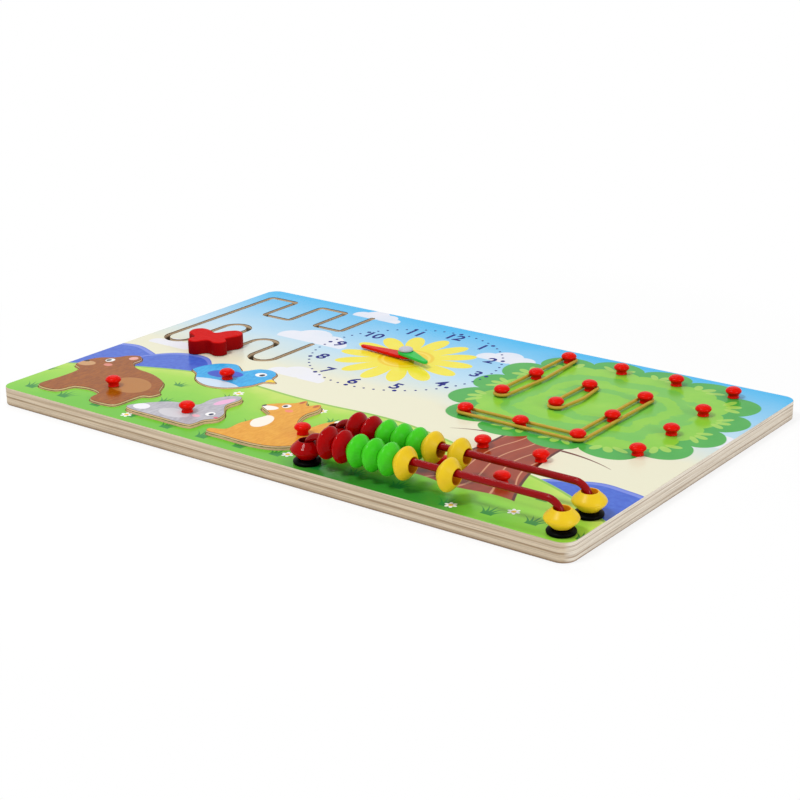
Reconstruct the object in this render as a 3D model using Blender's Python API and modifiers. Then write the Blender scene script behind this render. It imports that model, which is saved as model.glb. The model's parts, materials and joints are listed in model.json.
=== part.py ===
"""Wooden activity board: a printed two-layer plywood panel that carries a slot maze
with a sliding butterfly, a toy clock, four lift-out animals, a peg grid with rubber
bands and a pair of bead wires.

Units are metres. +X runs along the board's long side, +Y towards its far edge, +Z up.
The origin is under the middle of the board, on the surface that it lies on.
"""

import math

import bmesh
import bpy
from mathutils import Matrix, Vector

# Board
BOARD_LENGTH = 0.450
BOARD_WIDTH = 0.285
FRONT_THICKNESS = 0.006
BACK_THICKNESS = 0.0062
CORNER_RADIUS = 0.009
EDGE_ROUND = 0.0009
FIT_GAP = 0.0003

# Slot maze
MAZE_SIDE_MARGIN = 0.013
MAZE_REAR_MARGIN = 0.0175
MAZE_FRONT_MARGIN = 0.1425
UPPER_PITCH = 0.02475
UPPER_DEPTH = 0.039
UPPER_TURN_RADIUS = 0.003
LOWER_PITCH = 0.0203
ARCH_WALL = 0.0287
LOW_ARCH_RISE = 0.041
EXIT_WALL = 0.036
SLOT_CLEARANCE = 0.0004
CHANNEL_CLEARANCE = 0.0007
HEAD_PLAY = 0.0010

# Butterfly slider
BUTTERFLY_THICKNESS = 0.010
BUTTERFLY_ROOF = 0.0035
BUTTERFLY_TURN = math.radians(22)
BUTTERFLY_EDGE = 0.0008
PIN_RADIUS = 0.0016
PIN_HEAD_RADIUS = 0.0047
PIN_HEAD_HEIGHT = 0.0024

# Clock
CLOCK_SIDE_MARGIN = 0.1902
CLOCK_REAR_MARGIN = 0.0803
CLOCK_PIN_RADIUS = 0.002
CLOCK_COLLAR_RADIUS = 0.0042
CLOCK_COLLAR_HEIGHT = 0.0006
CLOCK_CAP_RADIUS = 0.0051
CLOCK_CAP_HEIGHT = 0.0026
CLOCK_CAP_RIM = 0.0010
CLOCK_CROWN_RADIUS = 0.0031
CLOCK_CROWN_DROP = 0.0004
HAND_THICKNESS = 0.0021
HAND_HUB_RADIUS = 0.0056
MINUTE_LENGTH = 0.0395
MINUTE_TIP_RADIUS = 0.0016
MINUTE_ANGLE = math.radians(180)
HOUR_LENGTH = 0.0275
HOUR_TIP_RADIUS = 0.0021
HOUR_ANGLE = math.radians(-22.5)

# Pegs and knobs
PEG_PITCH = 0.042
PEG_COLUMNS = 4
PEG_CROWN_ROWS = 4
PEG_SIDE_MARGIN = 0.0355
PEG_REAR_MARGIN = 0.0225
PEG_WIRE_GAP = 0.009
PEG_HEAD_RADIUS = 0.0053
PEG_HEAD_MID = 0.0042
PEG_HEIGHT = 0.0069
PEG_DOME_RADIUS = 0.0036
PEG_DOME_DROP = 0.0008
PEG_NECK_RADIUS = 0.0035
PEG_NECK_MID = 0.0017
PEG_FOOT_RADIUS = 0.0038
PEG_SHANK_RADIUS = 0.0022
PEG_HOLE_CLEARANCE = 0.0003
SHANK_END_GAP = 0.0007

# Rubber bands
BAND_RADIUS = 0.0011
BAND_LIFT = 0.0008
BAND_BULGE = 0.003

# Lift-out animals
RECESS_CLEARANCE = 0.0005

# Bead wires
WIRE_RADIUS = 0.0022
WIRE_START = 0.260
WIRE_SIDE_MARGIN = 0.0118
WIRE_FRONT_MARGIN = 0.0117
WIRE_SPACING = 0.0290
FOOT_RADIUS = 0.0086
FOOT_SHOULDER_RADIUS = 0.0071
FOOT_HEIGHT = 0.0033
FOOT_EDGE = 0.0010

# Beads
BEAD_RADIUS = 0.01015
BEAD_THICKNESS = 0.0110
BEAD_BORE_RADIUS = 0.0046
BEAD_LIP_WIDTH = 0.0007
BEAD_LIP_DEPTH = 0.0005
BEAD_RIM_ROUND = 0.0007
BEAD_RIM_HALF = 0.0016
BEAD_OVER_DECK = 0.0063
FRONT_RUN_GAP = 0.0020
REAR_RUN_GAP = 0.0008
FRONT_LOOSE_GAP = 0.0192
REAR_LOOSE_GAP = 0.0075

# Facets
HOLE_SIDES = 12
PEG_SIDES = 10
BEAD_SIDES = 12
ROUND_SIDES = 16
CAP_STEPS = 6
HUB_STEPS = 12
OUTLINE_STEPS = 3
ARC_STEP = math.radians(22.6)

# The board's edges, and the places and heights that follow from the sizes above
RIGHT_EDGE, REAR_EDGE = BOARD_LENGTH / 2, BOARD_WIDTH / 2
LEFT_EDGE, FRONT_EDGE = -RIGHT_EDGE, -REAR_EDGE
DECK = BACK_THICKNESS + FIT_GAP + FRONT_THICKNESS
SHANK_DEPTH = FRONT_THICKNESS - SHANK_END_GAP

MAZE_LEFT = LEFT_EDGE + MAZE_SIDE_MARGIN
UPPER_TOP = REAR_EDGE - MAZE_REAR_MARGIN
UPPER_BOTTOM = UPPER_TOP - UPPER_DEPTH
LOWER_BOTTOM = FRONT_EDGE + MAZE_FRONT_MARGIN
SLOT_WIDTH = 2 * (PIN_RADIUS + SLOT_CLEARANCE)
SLOT_TURN_RADIUS = LOWER_PITCH / 2
CHANNEL_WIDTH = 2 * (PIN_HEAD_RADIUS + CHANNEL_CLEARANCE)
CHANNEL_DEPTH = PIN_HEAD_HEIGHT + HEAD_PLAY
PIN_BORE_DEPTH = BUTTERFLY_THICKNESS - BUTTERFLY_ROOF
SLIDER_X = MAZE_LEFT + 2.5 * LOWER_PITCH

CLOCK_X = LEFT_EDGE + CLOCK_SIDE_MARGIN
CLOCK_Y = REAR_EDGE - CLOCK_REAR_MARGIN

HALF_BEAD = BEAD_THICKNESS / 2
BEAD_PITCH = BEAD_THICKNESS + FIT_GAP
BEAD_HANG = BEAD_BORE_RADIUS - WIRE_RADIUS - FIT_GAP
BEAD_ON_FOOT = FOOT_HEIGHT + FIT_GAP + HALF_BEAD
WIRE_HEIGHT = BEAD_OVER_DECK + BEAD_RADIUS + BEAD_HANG
BEND_RADIUS = WIRE_HEIGHT - BEAD_ON_FOOT
WIRE_LEFT = LEFT_EDGE + WIRE_START
WIRE_RIGHT = RIGHT_EDGE - WIRE_SIDE_MARGIN
FRONT_WIRE_Y = FRONT_EDGE + WIRE_FRONT_MARGIN
REAR_WIRE_Y = FRONT_WIRE_Y + WIRE_SPACING
RUN_START = WIRE_LEFT + BEND_RADIUS + HALF_BEAD

PEG_GRID_X = RIGHT_EDGE - PEG_SIDE_MARGIN - PEG_PITCH * (PEG_COLUMNS - 1)
PEG_GRID_Y = REAR_EDGE - PEG_REAR_MARGIN
PEG_ROWS = 1 + math.floor((PEG_GRID_Y - REAR_WIRE_Y - PEG_WIRE_GAP) / PEG_PITCH)
PEG_HOLE_RADIUS = PEG_SHANK_RADIUS + PEG_HOLE_CLEARANCE

# Plain wooden animals: the knob's place from the board's left and front edges, how far
# the piece stands proud of the deck, its colour, and its outline round the knob.
ANIMALS = {
    "bear": {
        "knob": (0.0665, 0.0415), "proud": 0.0015, "colour": (0.36, 0.15, 0.06),
        "outline": [
            (-0.057, 0.028), (-0.053, 0.038), (-0.044, 0.045), (-0.039, 0.053), (-0.031, 0.057),
            (-0.025, 0.051), (-0.024, 0.043), (-0.013, 0.036), (0.005, 0.033), (0.022, 0.025),
            (0.031, 0.012), (0.036, 0.007), (0.034, 0.000), (0.029, -0.003), (0.028, -0.014),
            (0.027, -0.025), (0.020, -0.028), (0.008, -0.028), (0.003, -0.024), (0.001, -0.015),
            (-0.010, -0.012), (-0.022, -0.015), (-0.025, -0.024), (-0.030, -0.028), (-0.042, -0.028),
            (-0.046, -0.023), (-0.045, -0.008), (-0.045, 0.006), (-0.048, 0.014), (-0.056, 0.018),
        ],
    },
    "bird": {
        "knob": (0.118, 0.098), "proud": 0.0008, "colour": (0.10, 0.42, 0.80),
        "outline": [
            (-0.033, 0.012), (-0.027, 0.022), (-0.016, 0.027), (-0.007, 0.022), (-0.002, 0.019),
            (0.004, 0.028), (0.014, 0.031), (0.022, 0.026), (0.025, 0.018), (0.032, 0.013),
            (0.025, 0.009), (0.022, -0.002), (0.012, -0.014), (-0.003, -0.018), (-0.017, -0.013),
            (-0.026, -0.003), (-0.034, 0.002),
        ],
    },
    "rabbit": {
        "knob": (0.1445, 0.0305), "proud": 0.0026, "colour": (0.50, 0.49, 0.54),
        "outline": [
            (-0.041, -0.013), (-0.035, -0.003), (-0.024, 0.008), (-0.012, 0.012), (-0.004, 0.015),
            (-0.004, 0.028), (0.002, 0.039), (0.009, 0.042), (0.013, 0.036), (0.012, 0.025),
            (0.016, 0.018), (0.022, 0.011), (0.024, 0.002), (0.019, -0.005), (0.018, -0.013),
            (0.014, -0.017), (-0.010, -0.017), (-0.034, -0.017),
        ],
    },
    "fox": {
        "knob": (0.231, 0.0425), "proud": 0.0025, "colour": (0.86, 0.40, 0.07),
        "outline": [
            (-0.056, 0.026), (-0.048, 0.036), (-0.041, 0.041), (-0.037, 0.049), (-0.031, 0.042),
            (-0.025, 0.048), (-0.020, 0.040), (-0.021, 0.028), (-0.017, 0.016), (-0.010, 0.010),
            (-0.004, 0.012), (-0.002, 0.021), (0.003, 0.031), (0.009, 0.034), (0.014, 0.026),
            (0.014, 0.008), (0.011, -0.012), (0.001, -0.025), (-0.016, -0.030), (-0.040, -0.030),
            (-0.053, -0.030), (-0.055, -0.025), (-0.046, -0.020), (-0.046, -0.008), (-0.043, 0.004),
            (-0.041, 0.015), (-0.047, 0.020),
        ],
    },
}

# Right half of the butterfly, from the notch at its head to the notch at its tail
BUTTERFLY_HALF = [
    (0.0, 0.0078), (0.0060, 0.0130), (0.0130, 0.0160), (0.0188, 0.0125), (0.0194, 0.0050),
    (0.0140, -0.0008), (0.0118, -0.0045), (0.0143, -0.0092), (0.0123, -0.0140), (0.0068, -0.0150),
    (0.0030, -0.0118), (0.0, -0.0104),
]

WOOD = (0.62, 0.50, 0.36)
RED = (0.60, 0.02, 0.02)
GREEN = (0.08, 0.55, 0.09)
YELLOW = (0.90, 0.55, 0.03)
BLACK = (0.01, 0.01, 0.01)


def clear_scene():
    for obj in list(bpy.data.objects):
        bpy.data.objects.remove(obj, do_unlink=True)


def new_collection(name):
    collection = bpy.data.collections.new(name)
    bpy.context.scene.collection.children.link(collection)
    return collection


def make_material(name, colour, roughness, metallic=0.0):
    material = bpy.data.materials.new(name)
    material.use_nodes = True
    shader = material.node_tree.nodes["Principled BSDF"]
    shader.inputs["Base Color"].default_value = (*colour, 1.0)
    shader.inputs["Roughness"].default_value = roughness
    shader.inputs["Metallic"].default_value = metallic
    return material


def add_object(name, data, material, place=(0, 0, 0), collection=None):
    obj = bpy.data.objects.new(name, data)
    obj.location = place
    (collection or PARTS).objects.link(obj)
    if material and not data.materials:
        data.materials.append(material)
    return obj


def add_empty(name, place):
    empty = bpy.data.objects.new(name, None)
    empty.location = place
    PARTS.objects.link(empty)
    return empty


def hang_on(obj, pivot):
    # Keeps the object's place and gives it its pivot's axis.
    obj.parent = pivot
    obj.matrix_parent_inverse = Matrix.Translation(pivot.location).inverted()


def as_cutter(obj):
    obj.hide_render = True
    obj.display_type = "WIRE"
    return obj


def add_boolean(obj, other, operation):
    cut = obj.modifiers.new(operation.title(), "BOOLEAN")
    cut.operation = operation
    cut.solver = "EXACT"
    cut.object = other
    cut.material_mode = "TRANSFER"


def circle(x, y, radius, sides):
    turn = 2 * math.pi / sides
    return [(x + radius * math.cos(turn * i), y + radius * math.sin(turn * i)) for i in range(sides)]


def smooth_outline(points):
    # A closed curve through the points, with the tangents of its neighbours.
    outline = []
    count = len(points)
    for i in range(count):
        a, b, c, d = (Vector(points[(i + k) % count]) for k in (-1, 0, 1, 2))
        for step in range(OUTLINE_STEPS):
            t = step / OUTLINE_STEPS
            outline.append(0.5 * (2 * b + (c - a) * t + (2 * a - 5 * b + 4 * c - d) * t ** 2
                                  + (3 * b - a - 3 * c + d) * t ** 3))
    return [tuple(p) for p in outline]


def grown(outline, distance):
    # Moves a clockwise or anticlockwise outline outwards along its corners' normals.
    count = len(outline)
    area = sum(outline[i - 1][0] * outline[i][1] - outline[i][0] * outline[i - 1][1] for i in range(count))
    side = math.copysign(1, area)
    result = []
    for i in range(count):
        before, here, after = (Vector(outline[(i + k) % count]) for k in (-1, 0, 1))
        along = ((here - before).normalized() + (after - here).normalized()).normalized()
        result.append(tuple(here + Vector((along.y, -along.x)) * distance * side))
    return result


def rounded_path(corners, closed=False):
    # Straight runs between (x, y, radius) corners, each turned as an arc.
    path = []
    count = len(corners)
    for i, (x, y, radius) in enumerate(corners):
        here = Vector((x, y))
        if radius == 0 or (not closed and i in (0, count - 1)):
            path.append(tuple(here))
            continue
        to_last = (Vector(corners[i - 1][:2]) - here).normalized()
        to_next = (Vector(corners[(i + 1) % count][:2]) - here).normalized()
        half = to_last.angle(to_next) / 2
        centre = here + (to_last + to_next).normalized() * radius / math.sin(half)
        start = here + to_last * radius / math.tan(half) - centre
        sweep = math.pi - 2 * half
        turn = math.copysign(sweep, to_next.cross(to_last))
        steps = max(2, math.ceil(sweep / ARC_STEP))
        arc = [centre + Matrix.Rotation(turn * step / steps, 2) @ start for step in range(steps + 1)]
        joins_last = bool(path) and (Vector(path[-1]) - arc[0]).length < 1e-6
        path += [tuple(p) for p in arc[joins_last:]]
    return path


def beside(corners, distance):
    # The corners of the line that runs at a distance to a path's left, or its right if negative.
    runs = [(Vector(b[:2]) - Vector(a[:2])).normalized() for a, b in zip(corners, corners[1:])]
    moved = []
    for i, (x, y, radius) in enumerate(corners):
        into, out = runs[max(i - 1, 0)], runs[min(i, len(runs) - 1)]
        before, after = Vector((-into.y, into.x)), Vector((-out.y, out.x))
        place = Vector((x, y)) + (before + after) * distance / (1 + before.dot(after))
        inward = distance * math.copysign(1, into.cross(out))
        moved.append((*place, max(0, radius - inward)))
    return moved


def ribbon(corners, width):
    # The outline of a slot with round ends that follows an open path.
    left, right = (rounded_path(beside(corners, side)) for side in (width / 2, -width / 2))

    def cap(start, end):
        middle = (Vector(start) + Vector(end)) / 2
        return [tuple(middle + Matrix.Rotation(-math.pi * step / CAP_STEPS, 2) @ (Vector(start) - middle))
                for step in range(1, CAP_STEPS)]

    return left + cap(left[-1], right[-1]) + right[::-1] + cap(right[0], left[0])


def teardrop(length, hub_radius, tip_radius):
    # A round hub at the origin drawn out to a smaller round tip on +X.
    lean = math.acos((hub_radius - tip_radius) / length)
    outline = []
    for step in range(HUB_STEPS + 1):
        angle = lean + (2 * math.pi - 2 * lean) * step / HUB_STEPS
        outline.append((hub_radius * math.cos(angle), hub_radius * math.sin(angle)))
    for step in range(CAP_STEPS + 1):
        angle = -lean + 2 * lean * step / CAP_STEPS
        outline.append((length + tip_radius * math.cos(angle), tip_radius * math.sin(angle)))
    return outline


def flat_curve(name, outlines, thickness):
    # A flat shape from 0 to its thickness; outlines inside the first one are holes.
    curve = bpy.data.curves.new(name, "CURVE")
    curve.dimensions = "2D"
    curve.fill_mode = "BOTH"
    curve.extrude = thickness / 2
    for outline in outlines:
        spline = curve.splines.new("POLY")
        spline.points.add(len(outline) - 1)
        for point, (x, y) in zip(spline.points, outline):
            point.co = (x, y, 0, 1)
        spline.use_cyclic_u = True
    return curve


def solid_mesh(name, curve, lift=0.0):
    # The curve's evaluated shape as a welded mesh with flat faces.
    holder = bpy.data.objects.new(name, curve)
    bpy.context.scene.collection.objects.link(holder)
    bpy.context.view_layer.update()
    evaluated = holder.evaluated_get(bpy.context.evaluated_depsgraph_get())
    mesh = bpy.data.meshes.new_from_object(evaluated)
    bpy.data.objects.remove(holder)
    bpy.data.curves.remove(curve)
    body = bmesh.new()
    body.from_mesh(mesh)
    bmesh.ops.remove_doubles(body, verts=body.verts, dist=1e-6)
    bmesh.ops.translate(body, verts=body.verts, vec=(0, 0, lift))
    bmesh.ops.recalc_face_normals(body, faces=body.faces)
    bmesh.ops.dissolve_limit(body, angle_limit=1e-3, verts=body.verts, edges=body.edges)
    body.to_mesh(mesh)
    body.free()
    mesh.name = name
    return mesh


def plate_mesh(name, outlines, thickness):
    return solid_mesh(name, flat_curve(name, outlines, thickness), thickness / 2)


def round_edges(obj, height, width, segments=2):
    # Bevels the outline's edges that lie at one height of the mesh.
    weights = obj.data.attributes.new("bevel_weight_edge", "FLOAT", "EDGE")
    for edge in obj.data.edges:
        ends = [obj.data.vertices[v].co.z for v in edge.vertices]
        weights.data[edge.index].value = float(all(abs(z - height) < 1e-6 for z in ends))
    bevel = obj.modifiers.new("Edge", "BEVEL")
    bevel.limit_method = "WEIGHT"
    bevel.width = width
    bevel.segments = segments


def turned_mesh(name, profile, closed):
    # A profile in the XZ plane, listed from the top down its outer side.
    mesh = bpy.data.meshes.new(name)
    body = bmesh.new()
    verts = [body.verts.new((r, 0, z)) for r, z in profile]
    for a, b in zip(verts, verts[1:]):
        body.edges.new((a, b))
    if closed:
        body.edges.new((verts[-1], verts[0]))
    body.to_mesh(mesh)
    body.free()
    return mesh


def turned(name, mesh, sides, material, place=(0, 0, 0), collection=None):
    obj = add_object(name, mesh, material, place, collection)
    screw = obj.modifiers.new("Turn", "SCREW")
    screw.steps = sides
    screw.render_steps = sides
    screw.use_merge_vertices = True
    screw.merge_threshold = 1e-6
    screw.use_smooth_shade = True
    return obj


def tube_curve(name, points, radius, resolution, closed):
    curve = bpy.data.curves.new(name, "CURVE")
    curve.dimensions = "3D"
    curve.bevel_depth = radius
    curve.bevel_resolution = resolution
    curve.use_fill_caps = True
    spline = curve.splines.new("POLY")
    spline.points.add(len(points) - 1)
    for point, place in zip(spline.points, points):
        point.co = (*place, 1)
    spline.use_cyclic_u = closed
    return curve


def maze_corners():
    # Square turns in the upper half, half-round turns in the lower half.
    upper = [MAZE_LEFT + UPPER_PITCH * i for i in range(5)]
    lower = [MAZE_LEFT + LOWER_PITCH * i for i in range(6)]
    square, half_round = UPPER_TURN_RADIUS, SLOT_TURN_RADIUS
    corners = [(upper[4], UPPER_TOP, 0)]
    for right, left in ((4, 3), (2, 1)):
        corners += [(upper[right], UPPER_BOTTOM, square), (upper[left], UPPER_BOTTOM, square)]
        corners += [(upper[left], UPPER_TOP, square), (upper[left - 1], UPPER_TOP, square)]
    arches = (UPPER_BOTTOM - ARCH_WALL, LOWER_BOTTOM + LOW_ARCH_RISE)
    for turn, left in enumerate((0, 2, 4)):
        corners += [(lower[left], LOWER_BOTTOM, half_round), (lower[left + 1], LOWER_BOTTOM, half_round)]
        if turn < len(arches):
            arch = arches[turn]
            corners += [(lower[left + 1], arch, half_round), (lower[left + 2], arch, half_round)]
    corners.append((lower[5], UPPER_BOTTOM - EXIT_WALL, 0))
    return corners


def peg_places():
    # Full rows make a tree's crown, and the middle two columns go on down its trunk.
    places = {}
    for row in range(PEG_ROWS):
        for column in range(PEG_COLUMNS) if row < PEG_CROWN_ROWS else (1, 2):
            places[row + 1, column + 1] = (PEG_GRID_X + PEG_PITCH * column, PEG_GRID_Y - PEG_PITCH * row)
    return places


def knob_place(animal):
    along, across = animal["knob"]
    return LEFT_EDGE + along, FRONT_EDGE + across


def recess_outline(animal):
    x, y = knob_place(animal)
    outline = grown(smooth_outline(animal["outline"]), RECESS_CLEARANCE)
    return [(x + px, y + py) for px, py in outline]


def board_outline():
    corners = ((RIGHT_EDGE, REAR_EDGE), (LEFT_EDGE, REAR_EDGE),
               (LEFT_EDGE, FRONT_EDGE), (RIGHT_EDGE, FRONT_EDGE))
    return rounded_path([(x, y, CORNER_RADIUS) for x, y in corners], closed=True)


def make_panels(maze):
    # The front layer is cut right through; the back layer closes the recesses from
    # below and has a channel in which the slider's head runs under the slot.
    back = add_object("back_panel", plate_mesh("back_panel", [board_outline()], BACK_THICKNESS), PLY)
    round_edges(back, 0, EDGE_ROUND)
    channel = plate_mesh("maze_channel", [ribbon(maze, CHANNEL_WIDTH)], 2 * CHANNEL_DEPTH)
    cutter = add_object("maze_channel", channel, PLY, (0, 0, BACK_THICKNESS - CHANNEL_DEPTH), CUTTERS)
    add_boolean(back, as_cutter(cutter), "DIFFERENCE")

    plate = plate_mesh("front_panel", [board_outline()], FRONT_THICKNESS)
    front = add_object("front_panel", plate, PRINT, (0, 0, DECK - FRONT_THICKNESS))
    round_edges(front, FRONT_THICKNESS, EDGE_ROUND)
    openings = [ribbon(maze, SLOT_WIDTH)]
    openings += [recess_outline(animal) for animal in ANIMALS.values()]
    for x, y in peg_places().values():
        openings.append(circle(x, y, PEG_HOLE_RADIUS, HOLE_SIDES))
    for y in (FRONT_WIRE_Y, REAR_WIRE_Y):
        for x in (WIRE_LEFT, WIRE_RIGHT):
            openings.append(circle(x, y, WIRE_RADIUS + FIT_GAP, HOLE_SIDES))
    openings.append(circle(CLOCK_X, CLOCK_Y, CLOCK_PIN_RADIUS + FIT_GAP, HOLE_SIDES))
    cut = plate_mesh("front_openings", openings, 2 * FRONT_THICKNESS)
    cutter = add_object("front_openings", cut, PLY, (0, 0, DECK - 1.5 * FRONT_THICKNESS), CUTTERS)
    add_boolean(front, as_cutter(cutter), "DIFFERENCE")


def make_slider():
    # The pin runs round the slot's turn, so its pivot is the middle of that turn.
    # Its head hangs in the channel and the butterfly turns on its upper end.
    x, y = SLIDER_X, LOWER_BOTTOM
    seat = DECK + FIT_GAP
    wing = BUTTERFLY_HALF
    outline = smooth_outline(wing + [(-px, py) for px, py in wing[-2:0:-1]])
    outline = [tuple(Matrix.Rotation(BUTTERFLY_TURN, 2) @ Vector(p)) for p in outline]
    mesh = plate_mesh("maze_butterfly", [outline], BUTTERFLY_THICKNESS)
    butterfly = add_object("maze_butterfly", mesh, RED_WOOD, (x, y, seat))
    round_edges(butterfly, BUTTERFLY_THICKNESS, BUTTERFLY_EDGE, 1)
    hole = circle(0, 0, PIN_RADIUS + FIT_GAP, HOLE_SIDES)
    bore = plate_mesh("butterfly_bore", [hole], 2 * PIN_BORE_DEPTH)
    cutter = add_object("butterfly_bore", bore, RED_WOOD, (x, y, seat - PIN_BORE_DEPTH), CUTTERS)
    add_boolean(butterfly, as_cutter(cutter), "DIFFERENCE")

    head_bottom = BACK_THICKNESS - CHANNEL_DEPTH + FIT_GAP
    pin_top = seat + PIN_BORE_DEPTH - FIT_GAP
    head_top = head_bottom + PIN_HEAD_HEIGHT
    profile = [(0, pin_top), (PIN_RADIUS, pin_top), (PIN_RADIUS, head_top), (PIN_HEAD_RADIUS, head_top),
               (PIN_HEAD_RADIUS, head_bottom), (0, head_bottom)]
    pin = turned("maze_pin", turned_mesh("maze_pin", profile, False), HOLE_SIDES, STEEL, (x, y, 0))
    hang_on(pin, add_empty("slot_turn", (x, y + SLOT_TURN_RADIUS, DECK)))


def make_clock():
    bottom = DECK + FIT_GAP + CLOCK_COLLAR_HEIGHT + FIT_GAP
    hole = circle(0, 0, CLOCK_PIN_RADIUS + FIT_GAP, HOLE_SIDES)
    for name, length, tip, angle, material in (
            ("minute_hand", MINUTE_LENGTH, MINUTE_TIP_RADIUS, MINUTE_ANGLE, RED_PLASTIC),
            ("hour_hand", HOUR_LENGTH, HOUR_TIP_RADIUS, HOUR_ANGLE, GREEN_PLASTIC)):
        outline = teardrop(length - tip, HAND_HUB_RADIUS, tip)
        mesh = plate_mesh(name, [outline, hole], HAND_THICKNESS)
        hand = add_object(name, mesh, material, (CLOCK_X, CLOCK_Y, bottom))
        hand.rotation_euler.z = angle
        bottom += HAND_THICKNESS + FIT_GAP
    collar_top = DECK + FIT_GAP + CLOCK_COLLAR_HEIGHT
    shank_end = DECK - SHANK_DEPTH
    top = bottom + CLOCK_CAP_HEIGHT
    profile = [(0, top), (CLOCK_CROWN_RADIUS, top - CLOCK_CROWN_DROP),
               (CLOCK_CAP_RADIUS, bottom + CLOCK_CAP_RIM), (CLOCK_CAP_RADIUS, bottom),
               (CLOCK_PIN_RADIUS, bottom), (CLOCK_PIN_RADIUS, collar_top),
               (CLOCK_COLLAR_RADIUS, collar_top), (CLOCK_COLLAR_RADIUS, DECK + FIT_GAP),
               (CLOCK_PIN_RADIUS, DECK + FIT_GAP), (CLOCK_PIN_RADIUS, shank_end), (0, shank_end)]
    pin = turned_mesh("clock_pin", profile, False)
    turned("clock_pin", pin, ROUND_SIDES, GREY_PLASTIC, (CLOCK_X, CLOCK_Y, 0))


def peg_mesh():
    # A mushroom peg: domed head, waisted neck, and a shank that is pressed into its hole.
    profile = [(0, PEG_HEIGHT), (PEG_DOME_RADIUS, PEG_HEIGHT - PEG_DOME_DROP),
               (PEG_HEAD_RADIUS, PEG_HEAD_MID), (PEG_NECK_RADIUS, PEG_NECK_MID), (PEG_FOOT_RADIUS, 0),
               (PEG_SHANK_RADIUS, 0), (PEG_SHANK_RADIUS, -SHANK_DEPTH), (0, -SHANK_DEPTH)]
    return turned_mesh("mushroom_peg", profile, False)


def make_pegs(mesh):
    for (row, column), (x, y) in peg_places().items():
        turned(f"peg_{row}_{column}", mesh, PEG_SIDES, RED_PLASTIC, (x, y, DECK + FIT_GAP))


def make_bands():
    # Each slack loop keeps the same distance from the feet of the pegs that it goes round.
    reach = PEG_FOOT_RADIUS + FIT_GAP + BAND_RADIUS
    pegs = peg_places()

    def loop(first, last):
        x, high, low = pegs[first][0], pegs[first][1] + reach, pegs[last][1] - reach
        return [(x - reach, low, reach), (x + reach, low, reach),
                (x + reach + BAND_BULGE, (low + high) / 2, PEG_PITCH),
                (x + reach, high, reach), (x - reach, high, reach)]

    start_x, corner_x, corner_y, end_y = pegs[4, 1][0], *pegs[4, 3], pegs[2, 3][1]
    bend = [(start_x - reach, corner_y - reach), (corner_x + reach, corner_y - reach),
            (corner_x + reach, end_y + reach), (corner_x - reach, end_y + reach),
            (corner_x - reach, corner_y + reach), (start_x - reach, corner_y + reach)]
    routes = {"band_long": loop((1, 1), (3, 1)), "band_short": loop((2, 2), (3, 2)),
              "band_corner": [(x, y, reach) for x, y in bend]}
    for name, corners in routes.items():
        points = [(x, y, 0) for x, y in rounded_path(corners, closed=True)]
        curve = tube_curve(name, points, BAND_RADIUS, 1, closed=True)
        add_object(name, curve, RUBBER, (0, 0, DECK + BAND_LIFT + BAND_RADIUS))


def make_animals(mesh):
    floor = BACK_THICKNESS + FIT_GAP
    hole = circle(0, 0, PEG_HOLE_RADIUS, HOLE_SIDES)
    for name, animal in ANIMALS.items():
        x, y = knob_place(animal)
        top = DECK + animal["proud"]
        paint = make_material(f"{name}_paint", animal["colour"], 0.35)
        shape = plate_mesh(f"{name}_piece", [smooth_outline(animal["outline"]), hole], top - floor)
        add_object(f"{name}_piece", shape, paint, (x, y, floor))
        turned(f"{name}_knob", mesh, PEG_SIDES, RED_PLASTIC, (x, y, top + FIT_GAP))


def wire_points(y):
    # Up from the left hole, along the run and down into the right hole.
    seat = DECK - SHANK_DEPTH
    high = DECK + WIRE_HEIGHT
    corners = [(WIRE_LEFT, seat, 0), (WIRE_LEFT, high, BEND_RADIUS), (WIRE_RIGHT, high, BEND_RADIUS),
               (WIRE_RIGHT, seat, 0)]
    return [(x, y, z) for x, z in rounded_path(corners)]


def make_wires():
    # Each wire is bent from one rod, with a moulded foot round each end.
    profile = [(0, FOOT_HEIGHT), (FOOT_SHOULDER_RADIUS, FOOT_HEIGHT),
               (FOOT_RADIUS, FOOT_HEIGHT - FOOT_EDGE), (FOOT_RADIUS, FIT_GAP + FOOT_EDGE / 2),
               (FOOT_RADIUS - FOOT_EDGE / 2, FIT_GAP), (0, FIT_GAP)]
    foot_mesh = turned_mesh("wire_foot", profile, False)
    for name, y in (("front", FRONT_WIRE_Y), ("rear", REAR_WIRE_Y)):
        curve = tube_curve(f"{name}_wire", wire_points(y), WIRE_RADIUS, 3, closed=False)
        wire = add_object(f"{name}_wire", solid_mesh(f"{name}_wire", curve), RED_METAL)
        for side, x in (("left", WIRE_LEFT), ("right", WIRE_RIGHT)):
            place = (x, y, DECK)
            foot = turned(f"{name}_{side}_foot", foot_mesh, ROUND_SIDES, RUBBER_BLACK, place, CUTTERS)
            add_boolean(wire, as_cutter(foot), "UNION")


def bead_mesh(name):
    # A disc of two cones with a rounded rim and a wide bore.
    face = BEAD_BORE_RADIUS + BEAD_LIP_WIDTH
    upper = [(BEAD_BORE_RADIUS, HALF_BEAD - BEAD_LIP_DEPTH), (face, HALF_BEAD),
             (BEAD_RADIUS - BEAD_RIM_ROUND, BEAD_RIM_HALF)]
    lower = [(r, -z) for r, z in reversed(upper)]
    return turned_mesh(name, upper + [(BEAD_RADIUS, 0)] + lower, True)


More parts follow.
